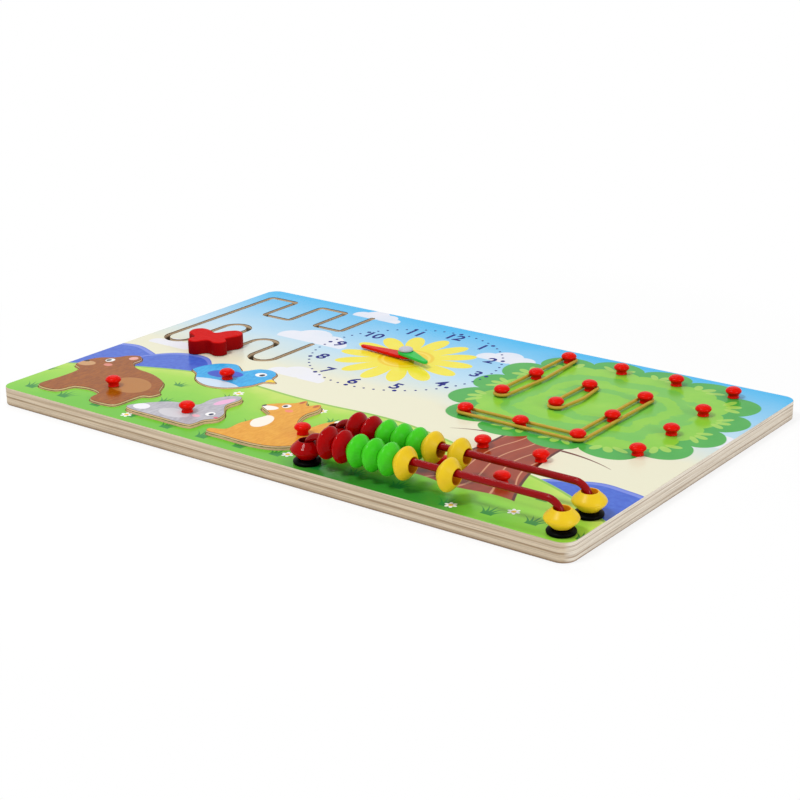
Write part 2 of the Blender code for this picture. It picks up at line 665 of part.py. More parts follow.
def make_beads():
    # Nine beads on each wire: one on each foot and seven hanging on the run.
    beads = []
    for colour, material in (("red", RED_BEAD), ("green", GREEN_BEAD), ("yellow", YELLOW_BEAD)):
        mesh = bead_mesh(f"{colour}_bead")
        beads += [(f"{colour}_{number}", mesh, material) for number in (1, 2, 3)]
    rows = (("front", FRONT_WIRE_Y, FRONT_RUN_GAP, FRONT_LOOSE_GAP),
            ("rear", REAR_WIRE_Y, REAR_RUN_GAP, REAR_LOOSE_GAP))
    for row, y, run_gap, loose_gap in rows:
        for i, (bead, mesh, material) in enumerate(beads):
            name = f"{row}_{bead}"
            if bead == "red_1":
                rest_on_foot(name, mesh, material, WIRE_LEFT, y, WIRE_LEFT + BEND_RADIUS)
                continue
            if bead == "yellow_3":
                rest_on_foot(name, mesh, material, WIRE_RIGHT, y, WIRE_RIGHT - BEND_RADIUS)
                continue
            x = RUN_START + run_gap + BEAD_PITCH * (i - 1) + (loose_gap if bead == "yellow_2" else 0)
            hanging = turned(name, mesh, BEAD_SIDES, material, (x, y, DECK + WIRE_HEIGHT - BEAD_HANG))
            hanging.rotation_euler.y = math.pi / 2


def rest_on_foot(name, mesh, material, x, y, bend_x):
    # The bead follows the wire's bend, so it hangs on the middle of that bend.
    z = DECK + BEAD_ON_FOOT
    bead = turned(name, mesh, BEAD_SIDES, material, (x, y, z))
    hang_on(bead, add_empty(f"{name}_bend", (bend_x, y, z)))


clear_scene()
PARTS = new_collection("activity_board")
CUTTERS = new_collection("cutters")

PLY = make_material("plywood", WOOD, 0.65)
PRINT = make_material("printed_face", (0.45, 0.70, 0.45), 0.25)
RED_WOOD = make_material("red_painted_wood", RED, 0.55)
STEEL = make_material("steel_pin", (0.55, 0.55, 0.56), 0.35, 1.0)
RED_PLASTIC = make_material("red_plastic", RED, 0.30)
GREEN_PLASTIC = make_material("green_plastic", GREEN, 0.30)
GREY_PLASTIC = make_material("grey_plastic", (0.62, 0.62, 0.66), 0.35)
RUBBER = make_material("band_rubber", (0.45, 0.32, 0.05), 0.60)
RUBBER_BLACK = make_material("foot_rubber", BLACK, 0.45)
RED_METAL = make_material("coated_wire", (0.32, 0.01, 0.02), 0.30, 0.2)
RED_BEAD = make_material("red_bead", (0.42, 0.0, 0.01), 0.12)
GREEN_BEAD = make_material("green_bead", GREEN, 0.15)
YELLOW_BEAD = make_material("yellow_bead", YELLOW, 0.15)

make_panels(maze_corners())
make_slider()
make_clock()
PEG_MESH = peg_mesh()
make_pegs(PEG_MESH)
make_bands()
make_animals(PEG_MESH)
make_wires()
make_beads()
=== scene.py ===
import json
import math
from functools import reduce

import bmesh
import bpy
from mathutils import Matrix, Vector

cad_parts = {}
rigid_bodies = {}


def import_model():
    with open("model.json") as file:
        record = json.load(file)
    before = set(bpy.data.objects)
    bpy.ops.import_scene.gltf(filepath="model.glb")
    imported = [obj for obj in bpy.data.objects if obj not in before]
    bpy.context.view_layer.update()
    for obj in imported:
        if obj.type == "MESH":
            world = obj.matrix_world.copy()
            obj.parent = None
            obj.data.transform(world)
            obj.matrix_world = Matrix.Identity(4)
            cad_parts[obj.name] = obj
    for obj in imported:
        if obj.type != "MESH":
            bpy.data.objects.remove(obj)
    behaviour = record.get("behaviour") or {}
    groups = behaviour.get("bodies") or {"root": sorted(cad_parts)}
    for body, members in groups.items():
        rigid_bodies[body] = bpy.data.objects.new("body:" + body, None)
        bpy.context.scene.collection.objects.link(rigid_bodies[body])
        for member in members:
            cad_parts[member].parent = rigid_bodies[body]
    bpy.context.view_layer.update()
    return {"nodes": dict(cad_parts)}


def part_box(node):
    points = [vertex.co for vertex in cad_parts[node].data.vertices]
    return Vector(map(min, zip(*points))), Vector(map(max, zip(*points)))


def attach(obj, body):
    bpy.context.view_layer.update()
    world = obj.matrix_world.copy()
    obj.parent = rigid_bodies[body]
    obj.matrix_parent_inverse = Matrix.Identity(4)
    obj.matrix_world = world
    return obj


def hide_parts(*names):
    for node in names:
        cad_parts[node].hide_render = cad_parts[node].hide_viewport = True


for leftover in list(bpy.data.objects):
    bpy.data.objects.remove(leftover)
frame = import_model()
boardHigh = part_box("front_panel")[1]
deckZ = boardHigh.z
mmPerMetre = 1000                      # shaders work in millimetres
deckMm = deckZ * mmPerMetre
outlineSteps = 4                       # points on each stretch of a smoothed outline
wires = ("front", "rear")
beadColours = ("red", "green", "yellow")
animals = ("bear", "bird", "rabbit", "fox")


def middle(node):
    low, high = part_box(node)
    return (low + high) / 2


# Camera, at the photograph's place and tilt
cameraSet = {"place": (0.6710, -0.8821, 0.4021), "look": (-0.5668, 0.7523, -0.3359),
             "roll": math.radians(-0.65), "lens": 79.47, "sensor": 36, "clip": (0.01, 50)}


def makeCamera():
    data = bpy.data.cameras.new("photoCamera")
    data.lens = cameraSet["lens"]
    data.sensor_width = cameraSet["sensor"]
    data.clip_start, data.clip_end = cameraSet["clip"]
    camera = bpy.data.objects.new("photoCamera", data)
    aim = Vector(cameraSet["look"]).to_track_quat("-Z", "Y").to_matrix().to_4x4()
    tilt = Matrix.Rotation(cameraSet["roll"], 4, "Z")
    camera.matrix_world = Matrix.Translation(cameraSet["place"]) @ aim @ tilt
    bpy.context.scene.collection.objects.link(camera)
    bpy.context.scene.camera = camera


makeCamera()
print("camera set")


# Node graphs. A Val is a socket that takes part in sums: an expression adds its Math nodes.
class Val:
    def __init__(self, graph, socket):
        self.graph = graph
        self.socket = socket

    def __add__(self, other):
        return self.graph.math("ADD", self, other)

    def __radd__(self, other):
        return self.graph.math("ADD", other, self)

    def __sub__(self, other):
        return self.graph.math("SUBTRACT", self, other)

    def __rsub__(self, other):
        return self.graph.math("SUBTRACT", other, self)

    def __mul__(self, other):
        return self.graph.math("MULTIPLY", self, other)

    def __rmul__(self, other):
        return self.graph.math("MULTIPLY", other, self)

    def __truediv__(self, other):
        return self.graph.math("DIVIDE", self, other)

    def __rtruediv__(self, other):
        return self.graph.math("DIVIDE", other, self)

    def __pow__(self, other):
        return self.graph.math("POWER", self, other)

    def __abs__(self):
        return self.graph.math("ABSOLUTE", self)

    def apply(self, operation, *others):
        return self.graph.math(operation, self, *others)


def pick(sockets, key):
    if isinstance(key, int):
        return sockets[key]
    return next(s for s in sockets if key in (s.identifier, s.name))


class Graph:
    def __init__(self, tree):
        self.tree = tree

    def node(self, kind, settings=None, sockets=None, out=0):
        made = self.tree.nodes.new(kind)
        for name, value in (settings or {}).items():
            if name == "stops":
                self.fillRamp(made.color_ramp, value)
            else:
                setattr(made, name, value)
        for key, value in (sockets or {}).items():
            self.feed(pick(made.inputs, key), value)
        return Val(self, pick(made.outputs, out))

    def feed(self, socket, value):
        if isinstance(value, Val):
            self.tree.links.new(value.socket, socket)
        else:
            socket.default_value = value

    def fillRamp(self, ramp, stops):
        while len(ramp.elements) < len(stops):
            ramp.elements.new(1.0)
        for element, (position, colour) in zip(ramp.elements, stops):
            element.position = position
            element.color = colour

    def math(self, operation, *values, clamp=False):
        settings = {"operation": operation, "use_clamp": clamp}
        return self.node("ShaderNodeMath", settings, dict(enumerate(values)))


def ink(red, green, blue):                 # a printed colour, as read off a screen
    parts = [c / 255 for c in (red, green, blue)]
    return tuple(c / 12.92 if c <= 0.04045 else ((c + 0.055) / 1.055) ** 2.4 for c in parts) + (1.0,)


class Finish(Graph):
    def __init__(self, name, **fixed):     # what is the same all over goes on the shader itself
        self.material = bpy.data.materials.new(name)
        self.material.use_nodes = True
        super().__init__(self.material.node_tree)
        self.shader = self.tree.nodes["Principled BSDF"]
        for socket, value in fixed.items():
            self.shader.inputs[socket.replace("_", " ")].default_value = value
        metres = self.node("ShaderNodeTexCoord", out="Object")
        self.place = self.vector("SCALE", metres, Scale=mmPerMetre)
        self.x, self.y, self.z = self.split(self.place)

    def vector(self, operation, *values, out=0, **named):
        sockets = {**dict(enumerate(values)), **named}
        return self.node("ShaderNodeVectorMath", {"operation": operation}, sockets, out)

    def split(self, vector):
        first = self.node("ShaderNodeSeparateXYZ", sockets={0: vector})
        return [Val(self, socket) for socket in first.socket.node.outputs]

    def join(self, x, y, z=0.0):
        return self.node("ShaderNodeCombineXYZ", sockets={0: x, 1: y, 2: z})

    def blend(self, under, over, amount, kind="MIX"):
        settings = {"data_type": "RGBA", "blend_type": kind}
        sockets = {"Factor_Float": amount, "A_Color": under, "B_Color": over}
        return self.node("ShaderNodeMix", settings, sockets, "Result_Color")

    def shade(self, colour, amount):       # darkens where amount is under 1, lightens over it
        return self.blend(colour, self.join(amount, amount, amount), 1.0, "MULTIPLY")

    def mask(self, depth, soft):           # 1 inside a shape, where depth in mm is over 0
        return self.math("MULTIPLY_ADD", depth, 1 / soft, 0.5, clamp=True)

    def line(self, depth, level, half, soft):          # 1 within half a line's width of a depth
        return self.mask(half - abs(depth - level), soft)

    def away(self, point, x, y):
        return self.vector("DISTANCE", point, (x, y, 0.0), out="Value")

    def noise(self, stretch, detail=2.0, seed=0.0):
        if not isinstance(stretch, tuple):
            stretch = (stretch,) * 3
        where = self.vector("MULTIPLY_ADD", self.place, stretch, (seed, seed, seed))
        sockets = {"Vector": where, "Scale": 1.0, "Detail": detail}
        return self.node("ShaderNodeTexNoise", sockets=sockets, out="Fac")

    def ramp(self, value, stops):
        return self.node("ShaderNodeValToRGB", {"stops": stops}, {0: value}, "Color")

    def bump(self, height, depth):         # depth in metres
        sockets = {"Strength": 1.0, "Distance": depth, "Height": height}
        self.feed(self.shader.inputs["Normal"], self.node("ShaderNodeBump", sockets=sockets, out="Normal"))

    def wear(self, colour, roughness):
        self.feed(self.shader.inputs["Base Color"], colour)
        self.feed(self.shader.inputs["Roughness"], roughness)
        return self


class Maker(Graph):                        # a Geometry Nodes tree with named inputs
    def __init__(self, name, **inputs):
        super().__init__(bpy.data.node_groups.new(name, "GeometryNodeTree"))
        face = self.tree.interface
        face.new_socket("Geometry", in_out="OUTPUT", socket_type="NodeSocketGeometry")
        for label, kind in {"Geometry": "Geometry", **inputs, "Finish": "Material"}.items():
            face.new_socket(label, in_out="INPUT", socket_type="NodeSocket" + kind)
        self.given = self.tree.nodes.new("NodeGroupInput")
        self.result = self.tree.nodes.new("NodeGroupOutput")

    def input(self, label):
        return Val(self, pick(self.given.outputs, label))

    def close(self, geometry):
        real = self.node("GeometryNodeRealizeInstances", sockets={0: geometry})
        sockets = {"Geometry": real, "Material": self.input("Finish")}
        self.feed(self.result.inputs[0], self.node("GeometryNodeSetMaterial", sockets=sockets))

    def make(self, data, **values):        # runs the tree on a curve or mesh and gives a plain mesh
        holder = bpy.data.objects.new("holder", data)
        bpy.context.scene.collection.objects.link(holder)
        modifier = holder.modifiers.new("make", "NODES")
        modifier.node_group = self.tree
        for item in self.tree.interface.items_tree:
            if item.in_out == "INPUT" and item.name in values:
                modifier[item.identifier] = values[item.name]
        evaluated = holder.evaluated_get(bpy.context.evaluated_depsgraph_get())
        mesh = bpy.data.meshes.new_from_object(evaluated)
        holder.modifiers.remove(modifier)
        bpy.data.objects.remove(holder)
        return finished(mesh)


# Shapes
samePlace, sameLevel = 1e-6, 1e-5          # metres, within which points or heights are one


def rounded(corners, closed=False, step=math.radians(6)):
    # straight runs between (x, y, radius) corners, each turned as an arc
    path = []
    for i, (x, y, radius) in enumerate(corners):
        here = Vector((x, y))
        if radius == 0 or (not closed and i in (0, len(corners) - 1)):
            path.append(here)
            continue
        toLast = (Vector(corners[i - 1][:2]) - here).normalized()
        toNext = (Vector(corners[(i + 1) % len(corners)][:2]) - here).normalized()
        half = toLast.angle(toNext) / 2
        centre = here + (toLast + toNext).normalized() * radius / math.sin(half)
        start = here + toLast * radius / math.tan(half) - centre
        sweep = math.pi - 2 * half
        turn = math.copysign(sweep, toNext.cross(toLast))
        steps = max(2, math.ceil(sweep / step))
        path += [centre + Matrix.Rotation(turn * k / steps, 2) @ start for k in range(steps + 1)]
    clear = [p for p, q in zip(path, path[1:]) if (p - q).length > samePlace]
    return clear + ([] if closed and (path[-1] - path[0]).length < samePlace else [path[-1]])


def beside(corners, distance):
    # the corners of a line to the left of a path, or to its right if the distance is negative
    runs = [(Vector(b[:2]) - Vector(a[:2])).normalized() for a, b in zip(corners, corners[1:])]
    shifted = []
    for i, (x, y, radius) in enumerate(corners):
        into, out = runs[max(i - 1, 0)], runs[min(i, len(runs) - 1)]
        before, after = Vector((-into.y, into.x)), Vector((-out.y, out.x))
        place = Vector((x, y)) + (before + after) * distance / (1 + before.dot(after))
        shifted.append((*place, max(0, radius - distance * math.copysign(1, into.cross(out)))))
    return shifted


def ribbon(corners, width, capSteps=16):
    # the outline of a slot with round ends along an open path
    left, right = (rounded(beside(corners, side)) for side in (width / 2, -width / 2))

    def cap(start, end):
        centre = (start + end) / 2
        turns = [-math.pi * k / capSteps for k in range(1, capSteps)]
        return [centre + Matrix.Rotation(turn, 2) @ (start - centre) for turn in turns]

    return left + cap(left[-1], right[-1]) + right[::-1] + cap(right[0], left[0])


def circle(x, y, radius, sides=32):
    turns = [2 * math.pi * k / sides for k in range(sides)]
    return [Vector((x + radius * math.cos(a), y + radius * math.sin(a))) for a in turns]


def eased(points, steps, closed=False):
    # a smooth curve through the points, with the tangents of their neighbours
    points = [Vector(p) for p in points]
    count = len(points)
    smooth = []
    for i in range(count if closed else count - 1):
        reach = [(i + k) % count if closed else min(max(i + k, 0), count - 1) for k in (-1, 0, 1, 2)]
        a, b, c, d = (points[k] for k in reach)
        for t in (k / steps for k in range(steps)):
            smooth.append(0.5 * (2 * b + (c - a) * t + (2 * a - 5 * b + 4 * c - d) * t * t
                                 + (3 * b - a - 3 * c + d) * t ** 3))
    return smooth if closed else smooth + [points[-1]]


def inset(loop, distance, sharpest=0.6):
    # moves a loop to its left, which is into the material, by the same distance all round
    result = []
    for i, here in enumerate(loop):
        into = (here - loop[i - 1]).normalized()
        out = (loop[(i + 1) % len(loop)] - here).normalized()
        along = (into + out).normalized()
        reach = distance / max(sharpest, along.dot(into))
        result.append(here + Vector((-along.y, along.x)) * reach)
    return result


def wound(loop, anticlockwise):
    area = sum(loop[i - 1].cross(p) for i, p in enumerate(loop))
    return loop if (area > 0) == anticlockwise else loop[::-1]


def outline(node, height):
    # the loops round a node's flat face at a height, the longest first
    build = bmesh.new()
    build.from_mesh(frame["nodes"][node].data)
    bmesh.ops.remove_doubles(build, verts=build.verts, dist=samePlace)
    flat = {f for f in build.faces if all(abs(v.co.z - height) < sameLevel for v in f.verts)}
    rim = {e for e in build.edges if sum(f in flat for f in e.link_faces) == 1}
    loops = []
    while rim:
        edge = rim.pop()
        chain = list(edge.verts)
        while True:
            following = next((e for e in chain[-1].link_edges if e in rim), None)
            if following is None:
                break
            rim.discard(following)
            chain.append(following.other_vert(chain[-1]))
        loops.append([v.co.xy.copy() for v in chain[:-1]])
    build.free()
    return sorted(loops, key=lambda loop: -sum((loop[i - 1] - p).length for i, p in enumerate(loop)))


def finished(mesh, sharp=math.radians(38), capSharp=0.05, weld=1e-7, level=0.9999):
    # merged, facing outwards and smooth, except at sharp edges and round flat caps
    build = bmesh.new()
    build.from_mesh(mesh)
    bmesh.ops.remove_doubles(build, verts=build.verts, dist=weld)
    bmesh.ops.recalc_face_normals(build, faces=build.faces)
    for face in build.faces:
        face.smooth = True
    for edge in build.edges:
        flatCap = any(abs(f.normal.z) > level for f in edge.link_faces)
        edge.smooth = edge.is_manifold and edge.calc_face_angle() < (capSharp if flatCap else sharp)
    build.to_mesh(mesh)
    build.free()
    return mesh


def fromBuild(build):
    mesh = bpy.data.meshes.new("made")
    build.to_mesh(mesh)
    build.free()
    return finished(mesh)


def edgeProfile(low, high, foot, rim, steps=4):
    # (inset, height) up a wall whose lower and upper edges are rounded
    turns = [math.pi / 2 * k / steps for k in range(steps + 1)]
    bends = [(1 - math.sin(a), 1 - math.cos(a)) for a in turns]
    lower = [(foot * s, low + foot * c) for s, c in bends] if foot else [(0, low)]
    upper = [(rim * c, high - rim * s) for s, c in bends] if rim else [(0, high)]
    return lower + upper


def plate(loops, low, high, rim, foot=0.0, pockets=(), pocketFloor=0.0):
    # a closed board: the first loop is its outside, the others are holes, and pockets stop at their floor
    build = bmesh.new()
    bottoms, tops = [], []

    def edgesOf(ring):
        return [build.edges.get((ring[i - 1], ring[i])) for i in range(len(ring))]

    def fill(edges):
        bmesh.ops.triangle_fill(build, use_beauty=True, edges=edges, normal=(0, 0, 1))

    for k, loop in enumerate([*loops, *pockets]):
        loop = wound(loop, k == 0)
        deep = k < len(loops)
        sides = edgeProfile(low if deep else pocketFloor, high, foot if deep else 0.0, rim)
        rings = [[build.verts.new((*p, z)) for p in inset(loop, d)] for d, z in sides]
        for lower, upper in zip(rings, rings[1:]):
            for i in range(len(loop)):
                build.faces.new((lower[i - 1], lower[i], upper[i], upper[i - 1]))
        tops += edgesOf(rings[-1])
        if deep:
            bottoms += edgesOf(rings[0])
        else:
            fill(edgesOf(rings[0]))
    fill(bottoms)
    fill(tops)
    return fromBuild(build)


def turned(profile, sides, closed=False):
    # a profile of (radius, height) spun round Z
    build = bmesh.new()
    line = [build.verts.new((r, 0, z)) for r, z in profile]
    edges = [build.edges.new(pair) for pair in zip(line, line[1:] + line[:1] if closed else line[1:])]
    bmesh.ops.spin(build, geom=line + edges, axis=(0, 0, 1), cent=(0, 0, 0), angle=2 * math.pi, steps=sides)
    return fromBuild(build)


def moved(mesh, x, y, z=0.0, turn=Matrix()):
    mesh.transform(Matrix.Translation((x, y, z)) @ turn)
    return mesh


def keep(name, mesh, finish, body, slot, *nodes):
    mesh.materials.clear()
    mesh.materials.append(finish.material)
    piece = bpy.data.objects.new(name, mesh)
    bpy.context.scene.collection.objects.link(piece)
    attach(piece, body)
    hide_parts(*nodes)


def pointCloud(points):
    mesh = bpy.data.meshes.new("places")
    mesh.from_pydata([tuple(p) for p in points], [], [])
    return mesh


def openCurve(points, closed=False):
    curve = bpy.data.curves.new("path", "CURVE")
    curve.dimensions = "3D"
    spline = curve.splines.new("POLY")
    spline.points.add(len(points) - 1)
    for point, place in zip(spline.points, points):
        point.co = (*place, 1)
    spline.use_cyclic_u = closed
    return curve


# Trees: a piece set on points, a tube along a path, and the dots round a dial
def makeStanding():
    tree = Maker("standing", Piece="Object", Size="Float")
    piece = tree.node("GeometryNodeObjectInfo", sockets={"Object": tree.input("Piece")}, out="Geometry")
    points = tree.node("GeometryNodeMeshToPoints", sockets={0: tree.input("Geometry")})
    sockets = {"Points": points, "Instance": piece, "Scale": tree.input("Size")}
    tree.close(tree.node("GeometryNodeInstanceOnPoints", sockets=sockets))
    return tree


def makeTube():
    tree = Maker("tube", Radius="Float", Sides="Int")
    section = tree.node("GeometryNodeCurvePrimitiveCircle", sockets={
        "Resolution": tree.input("Sides"), "Radius": tree.input("Radius")})
    tree.close(tree.node("GeometryNodeCurveToMesh", sockets={
        "Curve": tree.input("Geometry"), "Profile Curve": section, "Fill Caps": True}))
    return tree


def makeDial():
    tree = Maker("dial", Count="Int", Ring="Float", Dot="Float", HourDot="Float", Every="Int", Lift="Float",
                 Sides="Int")
    ring = tree.node("GeometryNodeMeshCircle", sockets={
        "Vertices": tree.input("Count"), "Radius": tree.input("Ring")})
    points = tree.node("GeometryNodeMeshToPoints", sockets={0: ring})
    dot = tree.node("GeometryNodeMeshCylinder", sockets={
        "Vertices": tree.input("Sides"), "Radius": 1.0, "Depth": tree.input("Lift")}, out="Mesh")
    index = tree.node("GeometryNodeInputIndex")
    onHour = index.apply("MODULO", tree.input("Every")).apply("LESS_THAN", 0.5)
    size = tree.input("Dot") + (tree.input("HourDot") - tree.input("Dot")) * onHour
    scale = tree.node("ShaderNodeCombineXYZ", sockets={0: size, 1: size, 2: 1.0})
    tree.close(tree.node("GeometryNodeInstanceOnPoints", sockets={
        "Points": points, "Instance": dot, "Scale": scale}))
    return tree


standing, tube, dial = makeStanding(), makeTube(), makeDial()


def onPoints(mesh, points, finish, size=1.0):
    piece = bpy.data.objects.new("repeated", mesh)
    made = standing.make(pointCloud(points), Piece=piece, Size=size, Finish=finish.material)
    bpy.data.objects.remove(piece)
    return made


# Plywood: the edge shows its plies, light and dark in turn, with fibres along them. The faces to the front
# and back wear a darker copy of the tones as painted shade, darkest at the foot
plySet = {"along": [ink(221, 205, 180), ink(210, 192, 167), ink(193, 173, 146), ink(156, 130, 101),
                    ink(130, 105, 78)],
          "across": [ink(234, 225, 210), ink(224, 213, 196), ink(206, 192, 171), ink(168, 145, 121)],
          "streak": ink(158, 132, 106), "burnt": ink(80, 48, 26), "scorchAndPaintedShade": 0.85,
          "slotCut": (ink(240, 214, 178), 2.9, 0.6),         # tone, then depths of the line and the rim in mm
          "pieceCut": (ink(248, 208, 166), 1.3, 0.3)}


def plyColour(f):
    depth = (deckMm - f.z) / deckMm + (f.noise((0.015, 0.015, 0.3), 1) - 0.5) * 0.07
    light, mid, dark, glue, foot = plySet["along"]
    along = f.ramp(depth, [(0.0, light), (0.13, mid), (0.27, dark), (0.33, light), (0.46, light),
                           (0.52, glue), (0.57, dark), (0.63, light), (0.74, light), (0.8, mid),
                           (0.88, dark), (0.96, foot)])
    light, mid, dark, glue = plySet["across"]
    across = f.ramp(depth, [(0.0, light), (0.17, light), (0.2, glue), (0.24, light), (0.38, mid),
                            (0.42, dark), (0.46, light), (0.68, mid), (0.72, glue), (0.77, light),
                            (0.9, mid), (0.95, glue)])
    # faces to either side take the lighter tones; the front and back keep the darker ones, which are painted
    # shade
    normal = f.node("ShaderNodeNewGeometry", out="Normal")
    sideways = f.mask(abs(f.split(normal)[0]) - 0.7, 0.3)
    colour = f.blend(along, across, sideways)
    streaks = f.mask(f.noise((0.018, 0.018, 2.6), 4, 4.0) - 0.56, 0.14)
    colour = f.blend(colour, plySet["streak"], streaks * 0.5)
    fibres = f.noise((0.05, 0.05, 4.5), 3, 6.0) * 0.45 + f.noise((0.4, 0.4, 8.0), 2, 8.0) * 0.35
    return f.shade(colour, fibres + 0.6)


def cutSide(f, cut, high):                 # a sawn side with a brown ply line and a scorched rim
    tan, lineDepth, rimDepth = plySet[cut]
    drop = high - f.z
    grain = f.noise((0.3, 0.3, 3.0), 2)
    line = f.line(drop + (grain - 0.5) * 0.5, lineDepth, 0.22, 0.15)
    dark = line.apply("MAXIMUM", f.mask(rimDepth - drop, 0.2))
    return f.blend(f.shade(tan, grain * 0.4 + 0.8), plySet["burnt"], dark * plySet["scorchAndPaintedShade"])


def plainPly():
    f = Finish("plainPly", Specular_IOR_Level=0.12)
    fibres = f.noise((0.3, 0.3, 5.0), 3)
    f.bump(fibres, 0.00015)
    return f.wear(plyColour(f), fibres * 0.2 + 0.55)


# The deck's print: a plain landscape, in millimetres from the board's middle.
# A cloud is (x, y, size), a hill (x, top, half width, drop), a row of tufts (pitch, phase, level, height),
# a bough (side, level, span) and a line (depth in its shape, half width, softness).
printSet = {
    "sky": {"low": -44, "high": 140, "drift": 26,
            "stops": [(0.0, ink(236, 233, 206)), (0.22, ink(236, 233, 206)), (0.52, ink(188, 222, 242)),
                      (1.0, ink(32, 184, 243))]},
    "clouds": {"ink": ink(238, 238, 247), "base": 5,
               "lobes": [(-17, 1, 9), (-4, 6, 13), (11, 4, 10), (21, -1, 7)],
               "places": [(-118, 58, 1.15), (-76, -10, 0.9), (-196, -9, 0.7), (26, 98, 0.95), (222, 36, 0.9),
                          (-112, 128, 0.8)]},
    "hills": {"light": ink(80, 122, 224), "dark": ink(42, 76, 192), "rim": ink(128, 146, 232),
              "rimLine": (2.4, 1.6, 0.9), "ripple": 5,
              "places": [(-212, -24, 40, 20), (-160, -15, 34, 26), (204, -57, 44, 18)]},
    "meadow": {"level": -42, "left": -110, "leftFall": 0.003, "rightFall": 0.0012, "ripple": 23,
               "patches": 44, "deep": 80, "shadeFrom": -122, "shadeSpan": (88, 60, 30),
               "shade": ink(34, 136, 44), "rim": ink(70, 166, 60), "rimLine": (1.2, 1.1, 0.9),
               "greens": [(0.0, ink(200, 226, 100)), (0.2, ink(166, 218, 70)), (0.6, ink(136, 208, 58)),
                          (1.0, ink(108, 194, 50))]},
    "tufts": {"ink": ink(24, 132, 52),
              "rows": [(31, 0.15, -134, 13), (37, 0.62, -100, 11), (45, 0.4, -70, 9)],
              "blades": (-2, -1, 0, 1, 2), "spread": 1.2, "lean": 3.4, "blade": 1.5, "shorter": 0.14,
              "strayX": 9, "strayY": 7},
    "daisies": {"pitch": 33, "stray": 14, "petal": 4.0, "eye": 1.5, "scarce": 0.55,
                "petals": ink(250, 248, 246), "middle": ink(247, 196, 52)},
    "sun": {"rays": 14, "inner": 24, "outer": 50, "disc": 20, "light": ink(246, 236, 78),
            "dark": ink(242, 224, 18), "middle": ink(242, 206, 16), "ring": ink(252, 226, 80),
            "ringLine": (16.5, 1.0, 0.8)},
    "trunk": {"top": 22, "bottom": 42, "foot": -109, "light": ink(172, 70, 36), "dark": ink(132, 44, 22),
              "grain": ink(222, 158, 120), "grainLine": (0.0, 0.045, 0.04), "rim": ink(84, 26, 18),
              "rimLine": (0.8, 1.2, 0.8), "bough": ink(104, 32, 22), "boughs": [(1, -27, 40), (-1, -24, 34)]},
    "crown": {"halfX": 97, "halfY": 84, "scallops": 15, "lobe": 0.13,
              "outer": (ink(48, 162, 62), ink(80, 182, 74)),
              "inset": 0.76, "insetLobe": 0.05, "inner": (ink(120, 200, 52), ink(154, 214, 64)),
              "rings": (0.55, 0.3), "ring": ink(84, 184, 88), "leaf": ink(168, 216, 86), "leafAt": 0.83,
              "leafLong": 0.05, "leafWide": 0.085},
}


def united(shapes):                        # the depth in several shapes that overlap
    return reduce(lambda one, other: one.apply("MAXIMUM", other), shapes)


def spokes(u, v, count):                   # from -0.5 to 0.5 across each of so many spokes
    row = v.apply("ARCTAN2", u) * (count / (2 * math.pi))
    return row - row.apply("FLOOR") - 0.5


def skyPrint(f, flat):
    sky, cloud = printSet["sky"], printSet["clouds"]
    drift = (f.noise(0.02, 3) - 0.5) * sky["drift"]
    colour = f.ramp((f.y - sky["low"] + drift) / (sky["high"] - sky["low"]), sky["stops"])
    for cx, cy, size in cloud["places"]:
        lobes = (radius * size - f.away(flat, cx + dx * size, cy + dy * size)
                 for dx, dy, radius in cloud["lobes"])
        shape = united(lobes).apply("MINIMUM", f.y - (cy - cloud["base"] * size))
        colour = f.blend(colour, cloud["ink"], f.mask(shape, 0.8) * (f.noise(0.06, 2, cx) * 0.4 + 0.7))
    return colour


def hillPrint(f, colour):
    hill = printSet["hills"]
    for cx, top, width, drop in hill["places"]:
        across = (f.x - cx) / width
        depth = top - across * across * drop - f.y + (f.x / hill["ripple"]).apply("SINE") * 0.6
        tone = f.blend(hill["light"], hill["dark"], f.noise(0.3, 4, cx))
        colour = f.blend(colour, tone, f.mask(depth, 0.6))
        colour = f.blend(colour, hill["rim"], f.line(depth, *hill["rimLine"]) * 0.8)
    return colour


def tuftMask(f, pitch, phase, level, tall):
    tuft = printSet["tufts"]
    row = f.x / pitch + phase
    cell = row.apply("FLOOR")
    stray = f.node("ShaderNodeTexWhiteNoise", {"noise_dimensions": "1D"}, {"W": cell}, "Value") - 0.5
    u = (row - cell - 0.5) * pitch + stray * tuft["strayX"]
    v = f.y - level - stray * tuft["strayY"]
    blades = []
    for blade in tuft["blades"]:
        share = v / (tall * (1 - tuft["shorter"] * abs(blade)))
        lean = blade * tuft["spread"] + share * share * blade * tuft["lean"]
        blades.append(((1 - share) * tuft["blade"] - abs(u - lean)).apply("MINIMUM", v))
    return f.mask(united(blades), 0.5)


def meadowPrint(f, colour):
    ground, tuft = printSet["meadow"], printSet["tufts"]
    left = (ground["left"] - f.x).apply("MAXIMUM", 0.0)
    right = f.x.apply("MAXIMUM", 0.0)
    top = (f.x / ground["ripple"]).apply("SINE") * 2 + ground["level"] - left * left * ground["leftFall"]
    depth = top - right * right * ground["rightFall"] - f.y
    patch = (f.noise(0.03, 3, 3.0) - 0.5) * ground["patches"]
    green = f.ramp((depth + patch) / ground["deep"], ground["greens"])
    # a dark patch along the front edge under the beads: painted shadow of the beads, mixed with darker
    # printed grass
    shady = f.mask(ground["shadeFrom"] - f.y + patch * 0.35, 14) * f.line(f.x, *ground["shadeSpan"])
    green = f.blend(green, ground["shade"], shady * 0.85)
    onMeadow = f.mask(depth, 0.6)
    colour = f.blend(colour, green, onMeadow)
    colour = f.blend(colour, ground["rim"], f.line(depth, *ground["rimLine"]) * 0.55)
    for row in tuft["rows"]:
        colour = f.blend(colour, tuft["ink"], tuftMask(f, *row) * onMeadow * 0.9)
    return daisyPrint(f, colour, onMeadow)


